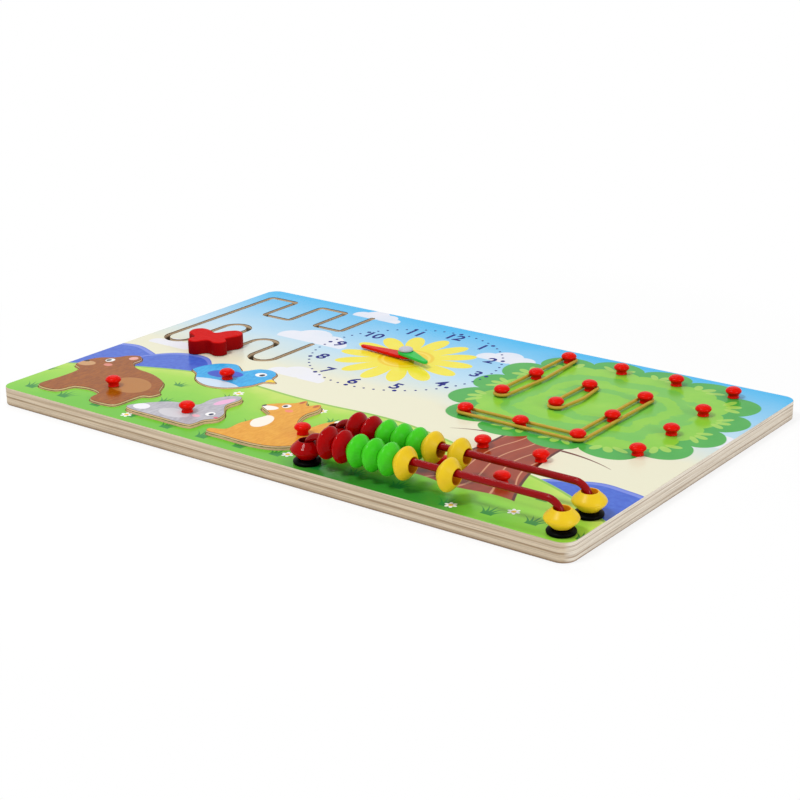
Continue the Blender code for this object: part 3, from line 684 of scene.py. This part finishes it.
def daisyPrint(f, colour, onMeadow):
    daisy = printSet["daisies"]
    pitch, stray = daisy["pitch"], daisy["stray"]
    column, row = f.x / pitch, f.y / pitch + 0.35
    cellX, cellY = column.apply("FLOOR"), row.apply("FLOOR")
    cell = {"Vector": f.join(cellX, cellY)}
    chance = f.node("ShaderNodeTexWhiteNoise", {"noise_dimensions": "2D"}, cell, "Color")
    first, second, third = f.split(chance)
    u = (column - cellX - 0.5) * pitch + (first - 0.5) * stray
    v = (row - cellY - 0.5) * pitch + (second - 0.5) * stray
    reach = (u * u + v * v).apply("SQRT")
    petal = abs((v.apply("ARCTAN2", u) * 3).apply("COSINE")) * 0.5 + 0.5
    shown = third.apply("GREATER_THAN", daisy["scarce"]) * onMeadow
    colour = f.blend(colour, daisy["petals"], f.mask(petal * daisy["petal"] - reach, 0.5) * shown)
    return f.blend(colour, daisy["middle"], f.mask(daisy["eye"] - reach, 0.4) * shown)


def sunPrint(f, colour, flat):
    sun = printSet["sun"]
    centre = middle("clock_pin") * mmPerMetre
    reach = f.away(flat, centre.x, centre.y)
    aside = spokes(f.x - centre.x, f.y - centre.y, sun["rays"]) * 2
    petal = (1 - aside * aside).apply("MAXIMUM", 0.0) ** 0.7
    edge = petal * (sun["outer"] - sun["inner"]) + sun["inner"]
    yellow = f.blend(sun["light"], sun["dark"], f.noise(0.09, 3, 2.0))
    colour = f.blend(colour, yellow, f.mask(edge - reach, 0.8))
    colour = f.blend(colour, sun["middle"], f.mask(sun["disc"] - reach, 1.2))
    return f.blend(colour, sun["ring"], f.line(reach, *sun["ringLine"]) * 0.8)


def treePrint(f, colour):
    trunk, crown = printSet["trunk"], printSet["crown"]
    centre = (middle("peg_4_4") + middle("peg_1_1")) / 2 * mmPerMetre
    across = f.x - centre.x
    crownFoot = centre.y - crown["halfY"]
    down = (crownFoot - f.y) / (crownFoot - trunk["foot"])
    flare = down * down * (trunk["bottom"] - trunk["top"]) + trunk["top"]
    bark = f.blend(trunk["light"], trunk["dark"], f.noise((0.2, 0.03, 0.2), 3, 6.0))
    foot = (f.x / 9).apply("SINE") * 1.6 + f.y - trunk["foot"]
    depth = flare - abs(across)
    onTrunk = f.mask(depth, 0.6) * f.mask(foot, 0.6) * f.mask(centre.y - f.y, 0.6)
    colour = f.blend(colour, bark, onTrunk)
    waves = ((across + f.y * 2) / 24).apply("SINE") * 0.3
    grain = (across / flare * 2.2 + waves + 0.5).apply("FRACT") - 0.5
    colour = f.blend(colour, trunk["grain"], f.line(grain, *trunk["grainLine"]) * onTrunk * 0.85)
    colour = f.blend(colour, trunk["rim"], f.line(depth, *trunk["rimLine"]) * onTrunk)
    for side, level, span in trunk["boughs"]:
        out = (across * side - trunk["top"]) / span
        bough = (1.2 - out) - abs(out * out * 9 + f.y - level)
        colour = f.blend(colour, trunk["bough"], f.mask(bough, 0.6) * f.mask(out * (1 - out), 0.05))
    return crownPrint(f, colour, across / crown["halfX"], (f.y - centre.y) / crown["halfY"])


def crownPrint(f, colour, u, v):
    crown = printSet["crown"]
    reach = (abs(u) ** 3 + abs(v) ** 3) ** (1 / 3)          # a rounded square
    spoke = spokes(u, v, crown["scallops"])
    bumps = (spoke * math.pi).apply("COSINE") ** 0.6
    outer = 1 - crown["lobe"] + bumps * crown["lobe"] - reach
    inner = crown["inset"] + bumps * crown["insetLobe"] - reach
    tone = f.noise(0.06, 3, 5.0)
    for depth, (dark, light) in ((outer, crown["outer"]), (inner, crown["inner"])):
        colour = f.blend(colour, f.blend(dark, light, tone), f.mask(depth, 0.008))
    for ring in crown["rings"]:
        band = f.line(reach + (tone - 0.5) * 0.3, ring, 0.06, 0.02)
        colour = f.blend(colour, crown["ring"], band * 0.5)
    for lean in (-1, 0, 1):
        along = (reach - crown["leafAt"] + abs(lean) * 0.012) / crown["leafLong"]
        aside = (spoke - lean * (reach - 0.68) * 1.5) / crown["leafWide"]
        colour = f.blend(colour, crown["leaf"], f.mask(1 - along * along - aside * aside, 0.3) * 0.85)
    return colour


# The deck: print on top, plies on its outer edge, and sawn walls with painted shade deep in the slot
# the last four set the painted shade down the slot's walls: where it starts, how soft, how strong, and the y
# past which it shows
deckSet = {"inkDepth": 0.1, "edgeBand": 1.4, "paintedShadeFrom": 2.6, "paintedShadeSoft": 2.2, "scorchAndPaintedShade": 0.8,
           "paintedShadePast": -8}             # mm, apart from the painted shade's strength


def printedDeck():
    f = Finish("printedDeck", Specular_IOR_Level=0.11)
    flat = f.join(f.x, f.y)
    colour = sunPrint(f, skyPrint(f, flat), flat)
    colour = treePrint(f, meadowPrint(f, hillPrint(f, colour)))
    onTop = f.mask(f.z - (deckMm - deckSet["inkDepth"]), 0.08)
    corner = panelSet["corner"] * mmPerMetre
    outX = (abs(f.x) - (boardHigh.x * mmPerMetre - corner)).apply("MAXIMUM", 0.0)
    outY = (abs(f.y) - (boardHigh.y * mmPerMetre - corner)).apply("MAXIMUM", 0.0)
    atSide = f.mask((outX * outX + outY * outY).apply("SQRT") - (corner - deckSet["edgeBand"]), 0.4)
    # painted shade: the sawn walls grow darker further down, behind the board's front part
    deep = f.mask(deckMm - deckSet["paintedShadeFrom"] - f.z, deckSet["paintedShadeSoft"])
    paintedSlotShade = deep * f.mask(f.y - deckSet["paintedShadePast"], 2) * deckSet["scorchAndPaintedShade"]
    sawn = f.shade(cutSide(f, "slotCut", deckMm), 1 - paintedSlotShade)
    wood = f.blend(sawn, plyColour(f), atSide)
    f.bump(f.noise(0.35, 2, 9.0), 0.000015)
    return f.wear(f.blend(wood, colour, onTop), 0.5 - onTop * 0.32 + f.noise(0.2, 2) * 0.05)


# Panels
panelSet = {"corner": 0.009, "deckRim": 0.0005, "outerFoot": 0.0009, "slotWidth": 0.004,
            "channelWidth": 0.0108, "channelDepth": 0.0034, "recessGap": 0.0005,
            "pegHole": 0.0025, "wireHole": 0.0025, "clockHole": 0.0023}
mazeSet = {"left": -0.212, "upperPitch": 0.02475, "upperTop": 0.125, "upperBottom": 0.086,
           "squareTurn": 0.003, "lowerPitch": 0.0203, "lowerBottom": 0.0, "arches": (0.0573, 0.041),
           "exit": 0.050}
pegNodes = sorted(n for n in frame["nodes"] if n.startswith("peg_"))
wireRadius, footRadius = 0.0022, 0.0086


def mazeCorners():
    m = mazeSet
    upper = [m["left"] + m["upperPitch"] * i for i in range(5)]
    lower = [m["left"] + m["lowerPitch"] * i for i in range(6)]
    square, halfRound = m["squareTurn"], m["lowerPitch"] / 2
    corners = [(upper[4], m["upperTop"], 0)]
    for right, left in ((4, 3), (2, 1)):
        corners += [(upper[i], m["upperBottom"], square) for i in (right, left)]
        corners += [(upper[i], m["upperTop"], square) for i in (left, left - 1)]
    for turn, left in enumerate((0, 2, 4)):
        corners += [(lower[i], m["lowerBottom"], halfRound) for i in (left, left + 1)]
        if turn < len(m["arches"]):
            corners += [(lower[i], m["arches"][turn], halfRound) for i in (left + 1, left + 2)]
    return corners + [(lower[5], m["exit"], 0)]


def wireEnds(wire):
    low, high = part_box(wire + "_wire")
    return low.x + footRadius, high.x - footRadius, (low.y + high.y) / 2


def smoothLoop(node):                      # round a node's flat underside
    return eased(outline(node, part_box(node)[0].z)[0], outlineSteps, closed=True)


def makePanels():
    size = panelSet
    x, y = boardHigh.x, boardHigh.y
    edge = rounded([(*p, size["corner"]) for p in ((-x, -y), (x, -y), (x, y), (-x, y))], closed=True)
    maze = mazeCorners()
    holes = [ribbon(maze, size["slotWidth"])]
    holes += [inset(wound(smoothLoop(a + "_piece"), False), size["recessGap"]) for a in animals]
    holes += [circle(*middle(n).xy, size["pegHole"]) for n in pegNodes]
    holes.append(circle(*middle("clock_pin").xy, size["clockHole"]))
    for wire in wires:
        left, right, wireY = wireEnds(wire)
        holes += [circle(left, wireY, size["wireHole"]), circle(right, wireY, size["wireHole"])]
    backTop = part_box("back_panel")[1].z
    deck = plate([edge, *holes], backTop, deckZ, size["deckRim"])
    keep("printedDeckBoard", deck, printedDeck(), "board", "printed_face", "front_panel")
    channel = ribbon(maze, size["channelWidth"])
    back = plate([edge], 0.0, backTop, 0.0, size["outerFoot"], [channel], backTop - size["channelDepth"])
    keep("backBoard", back, plainPly(), "board", "plywood", "back_panel")


makePanels()
print("panels made")


# Moulded plastics
def gloss(name, colour, deep, roughness=0.2, grain=0.4, depth=0.00002, shine=0.15):
    f = Finish(name, Specular_IOR_Level=shine)
    cloud = f.noise(0.12, 3)
    f.bump(f.noise(grain, 2, 3.0), depth)
    return f.wear(f.blend(colour, deep, cloud), cloud * 0.1 + roughness)


redPlastic = gloss("redPlastic", ink(236, 20, 4), ink(220, 10, 0), shine=0.07)
greenPlastic = gloss("greenPlastic", ink(56, 204, 88), ink(38, 184, 68), 0.3, shine=0.1)
redHandPlastic = gloss("redHandPlastic", ink(230, 24, 10), ink(208, 12, 6), 0.3, shine=0.07)
greyPlastic = gloss("greyPlastic", ink(202, 202, 212), ink(186, 186, 198), 0.35)
navyInk = gloss("navyInk", ink(22, 30, 138), ink(14, 20, 112), 0.35, shine=0.05)
wireCoat = gloss("wireCoat", ink(160, 6, 10), ink(130, 0, 4), 0.12, shine=0.12)
footBlack = gloss("footBlack", ink(7, 7, 7), ink(3, 3, 3), 0.3, grain=1.0, depth=0.00004, shine=0.03)


# Slider
sliderSet = {"rim": 0.0009, "bore": 0.0019, "roof": 0.0035, "pinRadius": 0.0016, "pinTip": 0.8,
             "headRadius": 0.0047, "headFlat": 0.94, "headHeight": 0.0024, "chamfer": 0.0004, "sides": 48,
             "paint": (ink(222, 16, 10), ink(196, 6, 6)), "paintedSideShade": ink(130, 0, 4),
             "steel": (ink(178, 178, 182), ink(140, 141, 146))}


def paintedWood():
    f = Finish("redPaint", Specular_IOR_Level=0.05)
    grain = f.noise((0.12, 1.4, 0.6), 3)
    f.bump(grain, 0.00012)
    # painted shade: faces that turn away from the top are blended towards a darker red
    side = 1 - f.split(f.node("ShaderNodeNewGeometry", out="Normal"))[2]
    colour = f.blend(*sliderSet["paint"], grain)
    return f.wear(f.blend(colour, sliderSet["paintedSideShade"], side * 0.8), grain * 0.2 + 0.45)


def pinSteel():
    f = Finish("pinSteel", Metallic=1.0)
    rings = f.noise((0.2, 0.2, 9.0), 2)
    f.bump(rings, 0.00002)
    return f.wear(f.blend(*sliderSet["steel"], rings), rings * 0.2 + 0.28)


def makeSlider():
    size = sliderSet
    low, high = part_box("maze_butterfly")
    pinX, pinY = middle("maze_pin").xy
    bore = circle(pinX, pinY, size["bore"])
    loop, rim = smoothLoop("maze_butterfly"), size["rim"]
    block = plate([loop], 0.0, high.z - low.z, rim / 2, rim, [bore], size["roof"])
    moved(block, 0, 0, high.z, Matrix.Scale(-1, 4, (0, 0, 1)))          # the bore opens downwards
    keep("butterflySlider", finished(block), paintedWood(), "maze_butterfly", "red_painted_wood",
         "maze_butterfly")
    low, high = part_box("maze_pin")
    neck, head, chamfer = size["pinRadius"], size["headRadius"], size["chamfer"]
    shoulder, headFlat = low.z + size["headHeight"], head * size["headFlat"]
    profile = [(0, high.z), (neck * size["pinTip"], high.z), (neck, high.z - chamfer), (neck, shoulder),
               (headFlat, shoulder), (head, shoulder - chamfer), (head, low.z + chamfer), (headFlat, low.z),
               (0, low.z)]
    pin = moved(turned(profile, size["sides"]), pinX, pinY)
    keep("sliderPin", pin, pinSteel(), "maze_pin", "steel_pin", "maze_pin")


makeSlider()
print("slider made")


# Clock: a hand is (length, tip radius, degrees), and the cap curves down as (radius, drop)
clockSet = {"hub": 0.0056, "hole": 0.0023, "rim": 0.0006, "hubSteps": 48, "tipSteps": 20,
            "hands": {"minute_hand": (0.0395, 0.0016, 180.0), "hour_hand": (0.0275, 0.0021, -22.5)},
            "capCurve": [(0.0, 0.0), (0.0022, 0.0001), (0.0038, 0.0005), (0.0048, 0.0012), (0.0051, 0.0019)],
            "capSteps": 5, "pin": 0.002, "collar": 0.0042, "gap": 0.0003, "pinSides": 48, "ring": 0.0681,
            "minutes": 60, "hourEvery": 5, "dot": 0.0009, "hourDot": 0.0016, "dotSides": 16,
            "numeralRing": 0.0595, "numeral": 0.0155, "bolder": 0.000332, "digitMiddle": 0.00064,
            "inkLift": 0.00008}


def teardrop(length, hub, tip):
    lean = math.acos((hub - tip) / length)
    loop = []
    for k in range(clockSet["hubSteps"] + 1):
        angle = lean + (2 * math.pi - 2 * lean) * k / clockSet["hubSteps"]
        loop.append(Vector((hub * math.cos(angle), hub * math.sin(angle))))
    for k in range(clockSet["tipSteps"] + 1):
        angle = -lean + 2 * lean * k / clockSet["tipSteps"]
        loop.append(Vector((length + tip * math.cos(angle), tip * math.sin(angle))))
    return loop


def onClock(mesh, z=0.0, turn=Matrix()):
    return moved(mesh, *middle("clock_pin").xy, z, turn)


def makeHands():
    size = clockSet
    finishes = {"minute_hand": redHandPlastic, "hour_hand": greenPlastic}
    slots = {"minute_hand": "red_plastic", "hour_hand": "green_plastic"}
    for node, (length, tip, degrees) in size["hands"].items():
        low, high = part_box(node)
        hand = plate([teardrop(length - tip, size["hub"], tip), circle(0, 0, size["hole"])], low.z, high.z,
                     size["rim"], size["rim"])
        onClock(hand, turn=Matrix.Rotation(math.radians(degrees), 4, "Z"))
        keep(node.split("_")[0] + "Hand", hand, finishes[node], node, slots[node], node)


def makeClockPin():
    size = clockSet
    low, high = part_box("clock_pin")
    gap, pinRadius, collar = size["gap"], size["pin"], size["collar"]
    rim = size["capCurve"][-1][0]
    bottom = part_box("hour_hand")[1].z + gap
    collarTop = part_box("minute_hand")[0].z - gap
    cap = [(radius, high.z - drop) for radius, drop in size["capCurve"]] + [(rim, bottom + gap)]
    profile = [tuple(p) for p in eased(cap, size["capSteps"])] + [
        (rim - gap, bottom), (pinRadius, bottom), (pinRadius, collarTop), (collar, collarTop),
        (collar, deckZ + gap), (pinRadius, deckZ + gap), (pinRadius, low.z), (0, low.z)]
    pin = onClock(turned(profile, size["pinSides"]))
    keep("clockCap", pin, greyPlastic, "board", "grey_plastic", "clock_pin")


def makeNumerals():
    size = clockSet
    centre, lift = middle("clock_pin"), deckZ + size["inkLift"] / 2
    turnedOver = Matrix.Translation((0, 2 * size["digitMiddle"], 0)) @ Matrix.Rotation(math.pi, 4, "Z")
    build = bmesh.new()
    for hour in range(1, 13):
        text = bpy.data.curves.new("hour", "FONT")
        text.body = "6" if hour == 9 else str(hour)        # a bolder 9 overlaps itself, so a 6 is turned over
        text.size = size["numeral"]
        text.extrude = size["inkLift"] / 2
        text.align_x, text.align_y = "CENTER", "CENTER"
        text.offset = size["bolder"]
        holder = bpy.data.objects.new("hour", text)
        bpy.context.scene.collection.objects.link(holder)
        evaluated = holder.evaluated_get(bpy.context.evaluated_depsgraph_get())
        mesh = bpy.data.meshes.new_from_object(evaluated)
        bpy.data.objects.remove(holder)
        turn = math.pi / 2 - hour * math.pi / 6
        x, y = (size["numeralRing"] * part for part in (math.cos(turn), math.sin(turn)))
        moved(mesh, centre.x + x, centre.y + y, lift, turnedOver if hour == 9 else Matrix())
        build.from_mesh(mesh)
    keep("clockNumerals", fromBuild(build), navyInk, "board", "printed_face")


def makeDots():
    size = clockSet
    dots = dial.make(pointCloud([(0, 0, 0)]), Count=size["minutes"], Every=size["hourEvery"],
                     Ring=size["ring"], Dot=size["dot"], HourDot=size["hourDot"], Sides=size["dotSides"],
                     Lift=size["inkLift"], Finish=navyInk.material)
    keep("clockDots", onClock(dots, deckZ + size["inkLift"] / 2), navyInk, "board", "printed_face")


makeHands()
makeClockPin()
makeNumerals()
makeDots()
print("clock made")


# Pegs and knobs share one turned mushroom, in metres from the foot's underside
pegSet = {"sides": 40, "steps": 4, "shank": (0.0022, -0.0053), "foot": 0.0038, "chamfer": 0.0003,
          "curve": [(0.0, 0.0069), (0.0022, 0.0068), (0.0037, 0.0063), (0.0048, 0.0054), (0.00525, 0.0046),
                    (0.0053, 0.0041), (0.0050, 0.0035), (0.0044, 0.0029), (0.0038, 0.0022), (0.0035, 0.0016),
                    (0.00355, 0.0009), (0.0038, 0.0003)]}


def makePegs():
    size = pegSet
    shank, end = size["shank"]
    profile = [tuple(p) for p in eased(size["curve"], size["steps"])]
    chamfer = size["chamfer"]
    profile += [(size["foot"], 0.0), (shank, 0.0), (shank, end + chamfer), (shank - chamfer, end), (0, end)]
    mushroom = turned(profile, size["sides"])

    def stand(name, body, nodes):
        places = [(*middle(n).xy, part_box(n)[0].z - end) for n in nodes]
        keep(name, onPoints(mushroom, places, redPlastic), redPlastic, body, "red_plastic", *nodes)

    stand("mushroomPegs", "board", pegNodes)
    for animal in animals:
        stand(animal + "Knob", animal, [animal + "_knob"])


makePegs()
print("pegs and knobs made")


# Animals: printed tops with features as ellipses (x, y, half width, half height, turn, colour) from the knob
animalSet = {
    "rim": 0.0007, "inkDepth": 0.06,
    "bear": {"coat": (ink(166, 92, 8), ink(142, 72, 2)), "features": [
        (8, 8, 17, 13, -20, ink(182, 120, 54)), (-51, 24, 6.5, 4.8, 20, ink(206, 156, 104)),
        (-55, 28, 2.4, 1.9, 0, ink(56, 30, 20)), (-36, 30, 3.4, 2.6, 0, ink(226, 140, 122)),
        (-42, 38, 3.2, 3.6, 0, ink(250, 250, 248)), (-42.8, 37.6, 1.7, 2.1, 0, ink(34, 24, 22)),
        (-31, 50, 3.2, 3.4, 0, ink(240, 174, 164))]},
    "bird": {"coat": (ink(54, 184, 240), ink(36, 158, 227)), "features": [
        (-2, -13, 22, 8, 4, ink(208, 228, 246)), (-8, 7, 13, 7.5, 18, ink(50, 84, 204)),
        (31.5, 13, 7.2, 5.4, 0, ink(250, 214, 40)), (13.5, 19.5, 4.2, 3.9, 0, ink(252, 252, 252)),
        (14.8, 19.2, 2.0, 2.2, 0, ink(24, 28, 56))]},
    "rabbit": {"coat": (ink(196, 194, 202), ink(172, 170, 180)), "features": [
        (-6, -6, 12, 7, 0, ink(210, 208, 214)), (7, 28, 3.4, 8.5, -14, ink(240, 180, 218)),
        (-32, -9, 6, 5, 0, ink(242, 240, 246)), (9.5, -2, 2.9, 2.2, 0, ink(240, 176, 190)),
        (15, 5.5, 3.2, 3.4, 0, ink(252, 252, 252)), (15.9, 5.3, 1.6, 2.0, 0, ink(36, 44, 84)),
        (22.4, 2.4, 1.7, 1.4, 0, ink(226, 110, 132))]},
    "fox": {"coat": (ink(238, 172, 54), ink(226, 152, 36)), "features": [
        (-36, 3, 6.5, 11, 14, ink(252, 244, 230)), (9, 30, 6, 7.5, 0, ink(252, 248, 240)),
        (-50, 23.5, 8, 4.2, 24, ink(252, 246, 238)), (-55, 26.4, 2.2, 1.9, 0, ink(50, 32, 26)),
        (-34, 27, 3.0, 2.3, 0, ink(248, 140, 110)), (-41, 33, 2.9, 3.2, 0, ink(252, 252, 250)),
        (-41.7, 32.7, 1.6, 1.9, 0, ink(40, 28, 26)), (-37, 44.4, 1.5, 3.0, 0, ink(198, 96, 40)),
        (-25, 43.6, 1.5, 3.0, 0, ink(198, 96, 40))]},
}


def animalFinish(animal):
    f = Finish(animal + "Print", Specular_IOR_Level=0.08)
    centre = middle(animal + "_knob") * mmPerMetre
    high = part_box(animal + "_piece")[1].z * mmPerMetre
    x, y = f.x - centre.x, f.y - centre.y
    light, dark = animalSet[animal]["coat"]
    strokes = f.noise((0.7, 0.22, 0.1), 3, 1.0)
    colour = f.blend(light, dark, f.mask(strokes - 0.5, 0.35))
    for cx, cy, halfX, halfY, degrees, tone in animalSet[animal]["features"]:
        c, s = math.cos(math.radians(degrees)), math.sin(math.radians(degrees))
        u = ((x - cx) * c + (y - cy) * s) / halfX
        v = ((y - cy) * c - (x - cx) * s) / halfY
        inside = 1 - (u * u + v * v).apply("SQRT")
        colour = f.blend(colour, tone, f.mask(inside, 0.5 / min(halfX, halfY)))
    onTop = f.mask(f.z - (high - animalSet["inkDepth"]), 0.05)
    f.bump(f.noise(0.9, 2, 9.0), 0.00002)
    side = cutSide(f, "pieceCut", high)
    return f.wear(f.blend(side, colour, onTop), 0.5 - onTop * 0.34 + strokes * 0.05)


def makeAnimals():
    for animal in animals:
        node = animal + "_piece"
        low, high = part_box(node)
        hole = circle(*middle(animal + "_knob").xy, panelSet["pegHole"])
        piece = plate([smoothLoop(node), hole], low.z, high.z, animalSet["rim"])
        keep(animal + "Piece", piece, animalFinish(animal), animal, animal + "_paint", node)


makeAnimals()
print("animals made")


# Rubber bands, slack loops round the pegs' feet
bandSet = {"radius": 0.0011, "reach": 0.0048, "bulge": 0.003, "bulgeBend": 0.042, "sides": 14,
           "step": math.radians(9), "rubber": (ink(208, 174, 64), ink(180, 144, 42))}


def bandRubber():
    f = Finish("bandRubber", Specular_IOR_Level=0.2)
    cloud = f.noise(0.25, 3)
    f.bump(f.noise(2.5, 2), 0.00003)
    return f.wear(f.blend(*bandSet["rubber"], cloud), cloud * 0.2 + 0.4)


def makeBands():
    size = bandSet
    reach = size["reach"]

    def loop(first, last):
        x, high, low = middle(first).x, middle(first).y + reach, middle(last).y - reach
        slack = (x + reach + size["bulge"], (low + high) / 2, size["bulgeBend"])
        return [(x - reach, low, reach), (x + reach, low, reach), slack, (x + reach, high, reach),
                (x - reach, high, reach)]

    start, corner, end = middle("peg_4_1"), middle("peg_4_3"), middle("peg_2_3")
    bend = [(start.x - reach, corner.y - reach), (corner.x + reach, corner.y - reach),
            (corner.x + reach, end.y + reach), (corner.x - reach, end.y + reach),
            (corner.x - reach, corner.y + reach), (start.x - reach, corner.y + reach)]
    routes = {"band_long": loop("peg_1_1", "peg_3_1"), "band_short": loop("peg_2_2", "peg_3_2"),
              "band_corner": [(x, y, reach) for x, y in bend]}
    rubber = bandRubber()
    for node, corners in routes.items():
        height = middle(node).z
        path = openCurve([(*p, height) for p in rounded(corners, True, size["step"])], True)
        made = tube.make(path, Radius=size["radius"], Sides=size["sides"], Finish=rubber.material)
        keep(node.split("_")[1] + "Band", made, rubber, "board", "band_rubber", node)


makeBands()
print("bands made")


# Wires with their moulded feet
wireSet = {"bend": 0.00945, "sides": 24, "footSides": 56, "footSteps": 4, "footGap": 0.00005,
           "foot": [(0.0024, 0.0033), (0.0062, 0.0033), (0.0070, 0.0031), (0.0076, 0.0027), (0.0082, 0.0023),
                    (0.0085, 0.0019), (0.0086, 0.0014), (0.0085, 0.0007), (0.0082, 0.0003)]}


def makeWires():
    size = wireSet
    footCurve = [tuple(p) for p in eased(size["foot"], size["footSteps"])]
    bore = wireRadius + size["footGap"]
    top, bottom = size["foot"][0][1], size["foot"][-1][1]
    foot = turned([(bore, top), *footCurve, (bore, bottom)], size["footSides"], True)
    for wire in wires:
        node = wire + "_wire"
        left, right, y = wireEnds(wire)
        low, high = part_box(node)
        run = high.z - wireRadius
        corners = [(left, low.z, 0), (left, run, size["bend"]), (right, run, size["bend"]), (right, low.z, 0)]
        path = [(x, y, z) for x, z in rounded(corners)]
        made = tube.make(openCurve(path), Radius=wireRadius, Sides=size["sides"], Finish=wireCoat.material)
        keep(wire + "BentWire", made, wireCoat, "board", "coated_wire", node)
        feet = onPoints(foot, [(left, y, deckZ), (right, y, deckZ)], footBlack)
        keep(wire + "WireFeet", feet, footBlack, "board", "coated_wire")


makeWires()
print("wires made")


# Beads: a fat lens with a rounded rim and a wide bore, whose inside wears painted shade, and in the yellow
# painted bounce light
beadSet = {"each": 3, "sides": 56, "steps": 4, "bore": 0.0049,
           # tones are light, dark, and the bore's painted shade and bounce light
           "tones": {"red": (ink(182, 0, 4), ink(148, 0, 0), ink(96, 0, 0)),
                     "green": (ink(80, 214, 40), ink(54, 192, 24), ink(34, 150, 16)),
                     "yellow": (ink(238, 205, 40), ink(231, 189, 24), ink(232, 146, 8))},
           "shine": {"red": 0.07, "green": 0.12, "yellow": 0.15},
           "roughness": {"red": 0.05, "green": 0.2, "yellow": 0.28},
           "face": [(0.0046, 0.0050), (0.00475, 0.00535), (0.00505, 0.0055), (0.0054, 0.00542),
                    (0.0060, 0.0049), (0.0074, 0.0036), (0.0087, 0.0024), (0.0094, 0.0016),
                    (0.0099, 0.0008), (0.01015, 0.0)]}


def beadPlastic(colour):
    f = Finish(colour + "Bead", Specular_IOR_Level=beadSet["shine"][colour])
    light, dark, bore = beadSet["tones"][colour]
    cloud = f.noise(0.12, 3)
    f.bump(f.noise(0.45, 2, 3.0), 0.00003)
    # painted shade and bounce light inside the bore
    inBore = f.node("ShaderNodeAttribute", {"attribute_name": "bore"}, out="Fac")
    tone = f.blend(f.blend(light, dark, cloud), bore, inBore)
    return f.wear(tone, cloud * 0.1 + beadSet["roughness"][colour])


def makeBeads():
    size = beadSet
    finishes = {colour: beadPlastic(colour) for colour in beadColours}
    upper = [tuple(p) for p in eased(size["face"], size["steps"])]
    profile = upper + [(r, -z) for r, z in reversed(upper[:-1])]
    for wire in wires:
        for colour in beadColours:
            for count in range(1, size["each"] + 1):
                node = f"{wire}_{colour}_{count}"
                low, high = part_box(node)
                flat = (high.z - low.z) < (high.x - low.x)        # lies on its foot
                bead = turned(profile, size["sides"], True)
                inBore = [float(v.co.xy.length < size["bore"]) for v in bead.vertices]
                bead.attributes.new("bore", "FLOAT", "POINT").data.foreach_set("value", inBore)
                turn = Matrix() if flat else Matrix.Rotation(math.pi / 2, 4, "Y")
                moved(bead, *middle(node), turn)
                name = wire + colour.capitalize() + "Bead" + str(count)
                keep(name, bead, finishes[colour], node, colour + "_bead", node)


makeBeads()
print("beads made")


# Floor, lights and a white surround. A lamp is (place, size, watts).
stageSet = {"floorSize": 12.0, "floorDrop": 0.0002, "floorShadow": 0.2, "shadowReach": (260, 400),
            "ambient": 0.44}
lampSet = {"overhead": ((-0.2, -0.76, 1.4), (0.3, 0.3), 10.5), "back": ((-0.3, 0.5, 1.5), (0.1, 0.1), 1.4),
           "left": ((-0.74, 0.4, 1.28), (0.06, 0.5), 2.4), "right": ((1.65, -0.2, 0.7), (0.3, 0.6), 7.0)}


def makeFloor():
    mesh = bpy.data.meshes.new("paleFloor")
    half = stageSet["floorSize"] / 2
    corners = [(-half, -half, 0), (half, -half, 0), (half, half, 0), (-half, half, 0)]
    mesh.from_pydata(corners, [], [(0, 1, 2, 3)])
    floor = bpy.data.objects.new("paleFloor", mesh)
    floor.location.z = -stageSet["floorDrop"]
    bpy.context.scene.collection.objects.link(floor)
    f = Finish("paleFloor", Roughness=0.8)
    f.feed(f.shader.inputs["Base Color"], f.blend(ink(252, 252, 252), ink(255, 255, 255), f.noise(0.01, 2)))
    white = f.node("ShaderNodeEmission", sockets={"Color": (1, 1, 1, 1), "Strength": 1.0})
    seen = f.node("ShaderNodeLightPath", out="Is Camera Ray")
    surface = Val(f, f.shader.outputs[0])
    near, far = stageSet["shadowReach"]
    fade = f.math("SUBTRACT", far, f.away(f.place, 0, 0)) / (far - near)
    shadow = fade.apply("MINIMUM", 1.0).apply("MAXIMUM", 0.0) * stageSet["floorShadow"]
    mixed = f.node("ShaderNodeMixShader", sockets={0: seen * (1 - shadow), 1: surface, 2: white})
    f.feed(f.tree.nodes["Material Output"].inputs["Surface"], mixed)
    mesh.materials.append(f.material)


def makeWorld():
    world = bpy.data.worlds.new("surround")
    world.use_nodes = True
    bpy.context.scene.world = world
    g = Graph(world.node_tree)
    g.tree.nodes.clear()
    path = g.node("ShaderNodeLightPath")
    camera, glossy, through = (Val(g, pick(path.socket.node.outputs, label))
                               for label in ("Is Camera Ray", "Is Glossy Ray", "Is Transmission Ray"))
    seen = camera.apply("MAXIMUM", glossy).apply("MAXIMUM", through)
    strength = seen * (1 - stageSet["ambient"]) + stageSet["ambient"]
    light = g.node("ShaderNodeBackground", sockets={"Color": (1, 1, 1, 1), "Strength": strength})
    g.feed(g.tree.nodes.new("ShaderNodeOutputWorld").inputs["Surface"], light)


def makeLamps():
    for name, (place, size, watts) in lampSet.items():
        data = bpy.data.lights.new(name, "AREA")
        data.shape = "RECTANGLE"
        data.size, data.size_y = size
        data.energy = watts
        lamp = bpy.data.objects.new(name, data)
        lamp.location = place
        lamp.rotation_euler = (-Vector(place)).to_track_quat("-Z", "Y").to_euler()
        bpy.context.scene.collection.objects.link(lamp)


makeFloor()
makeWorld()
makeLamps()
bpy.context.scene.view_settings.view_transform = "Standard"
print("stage set")
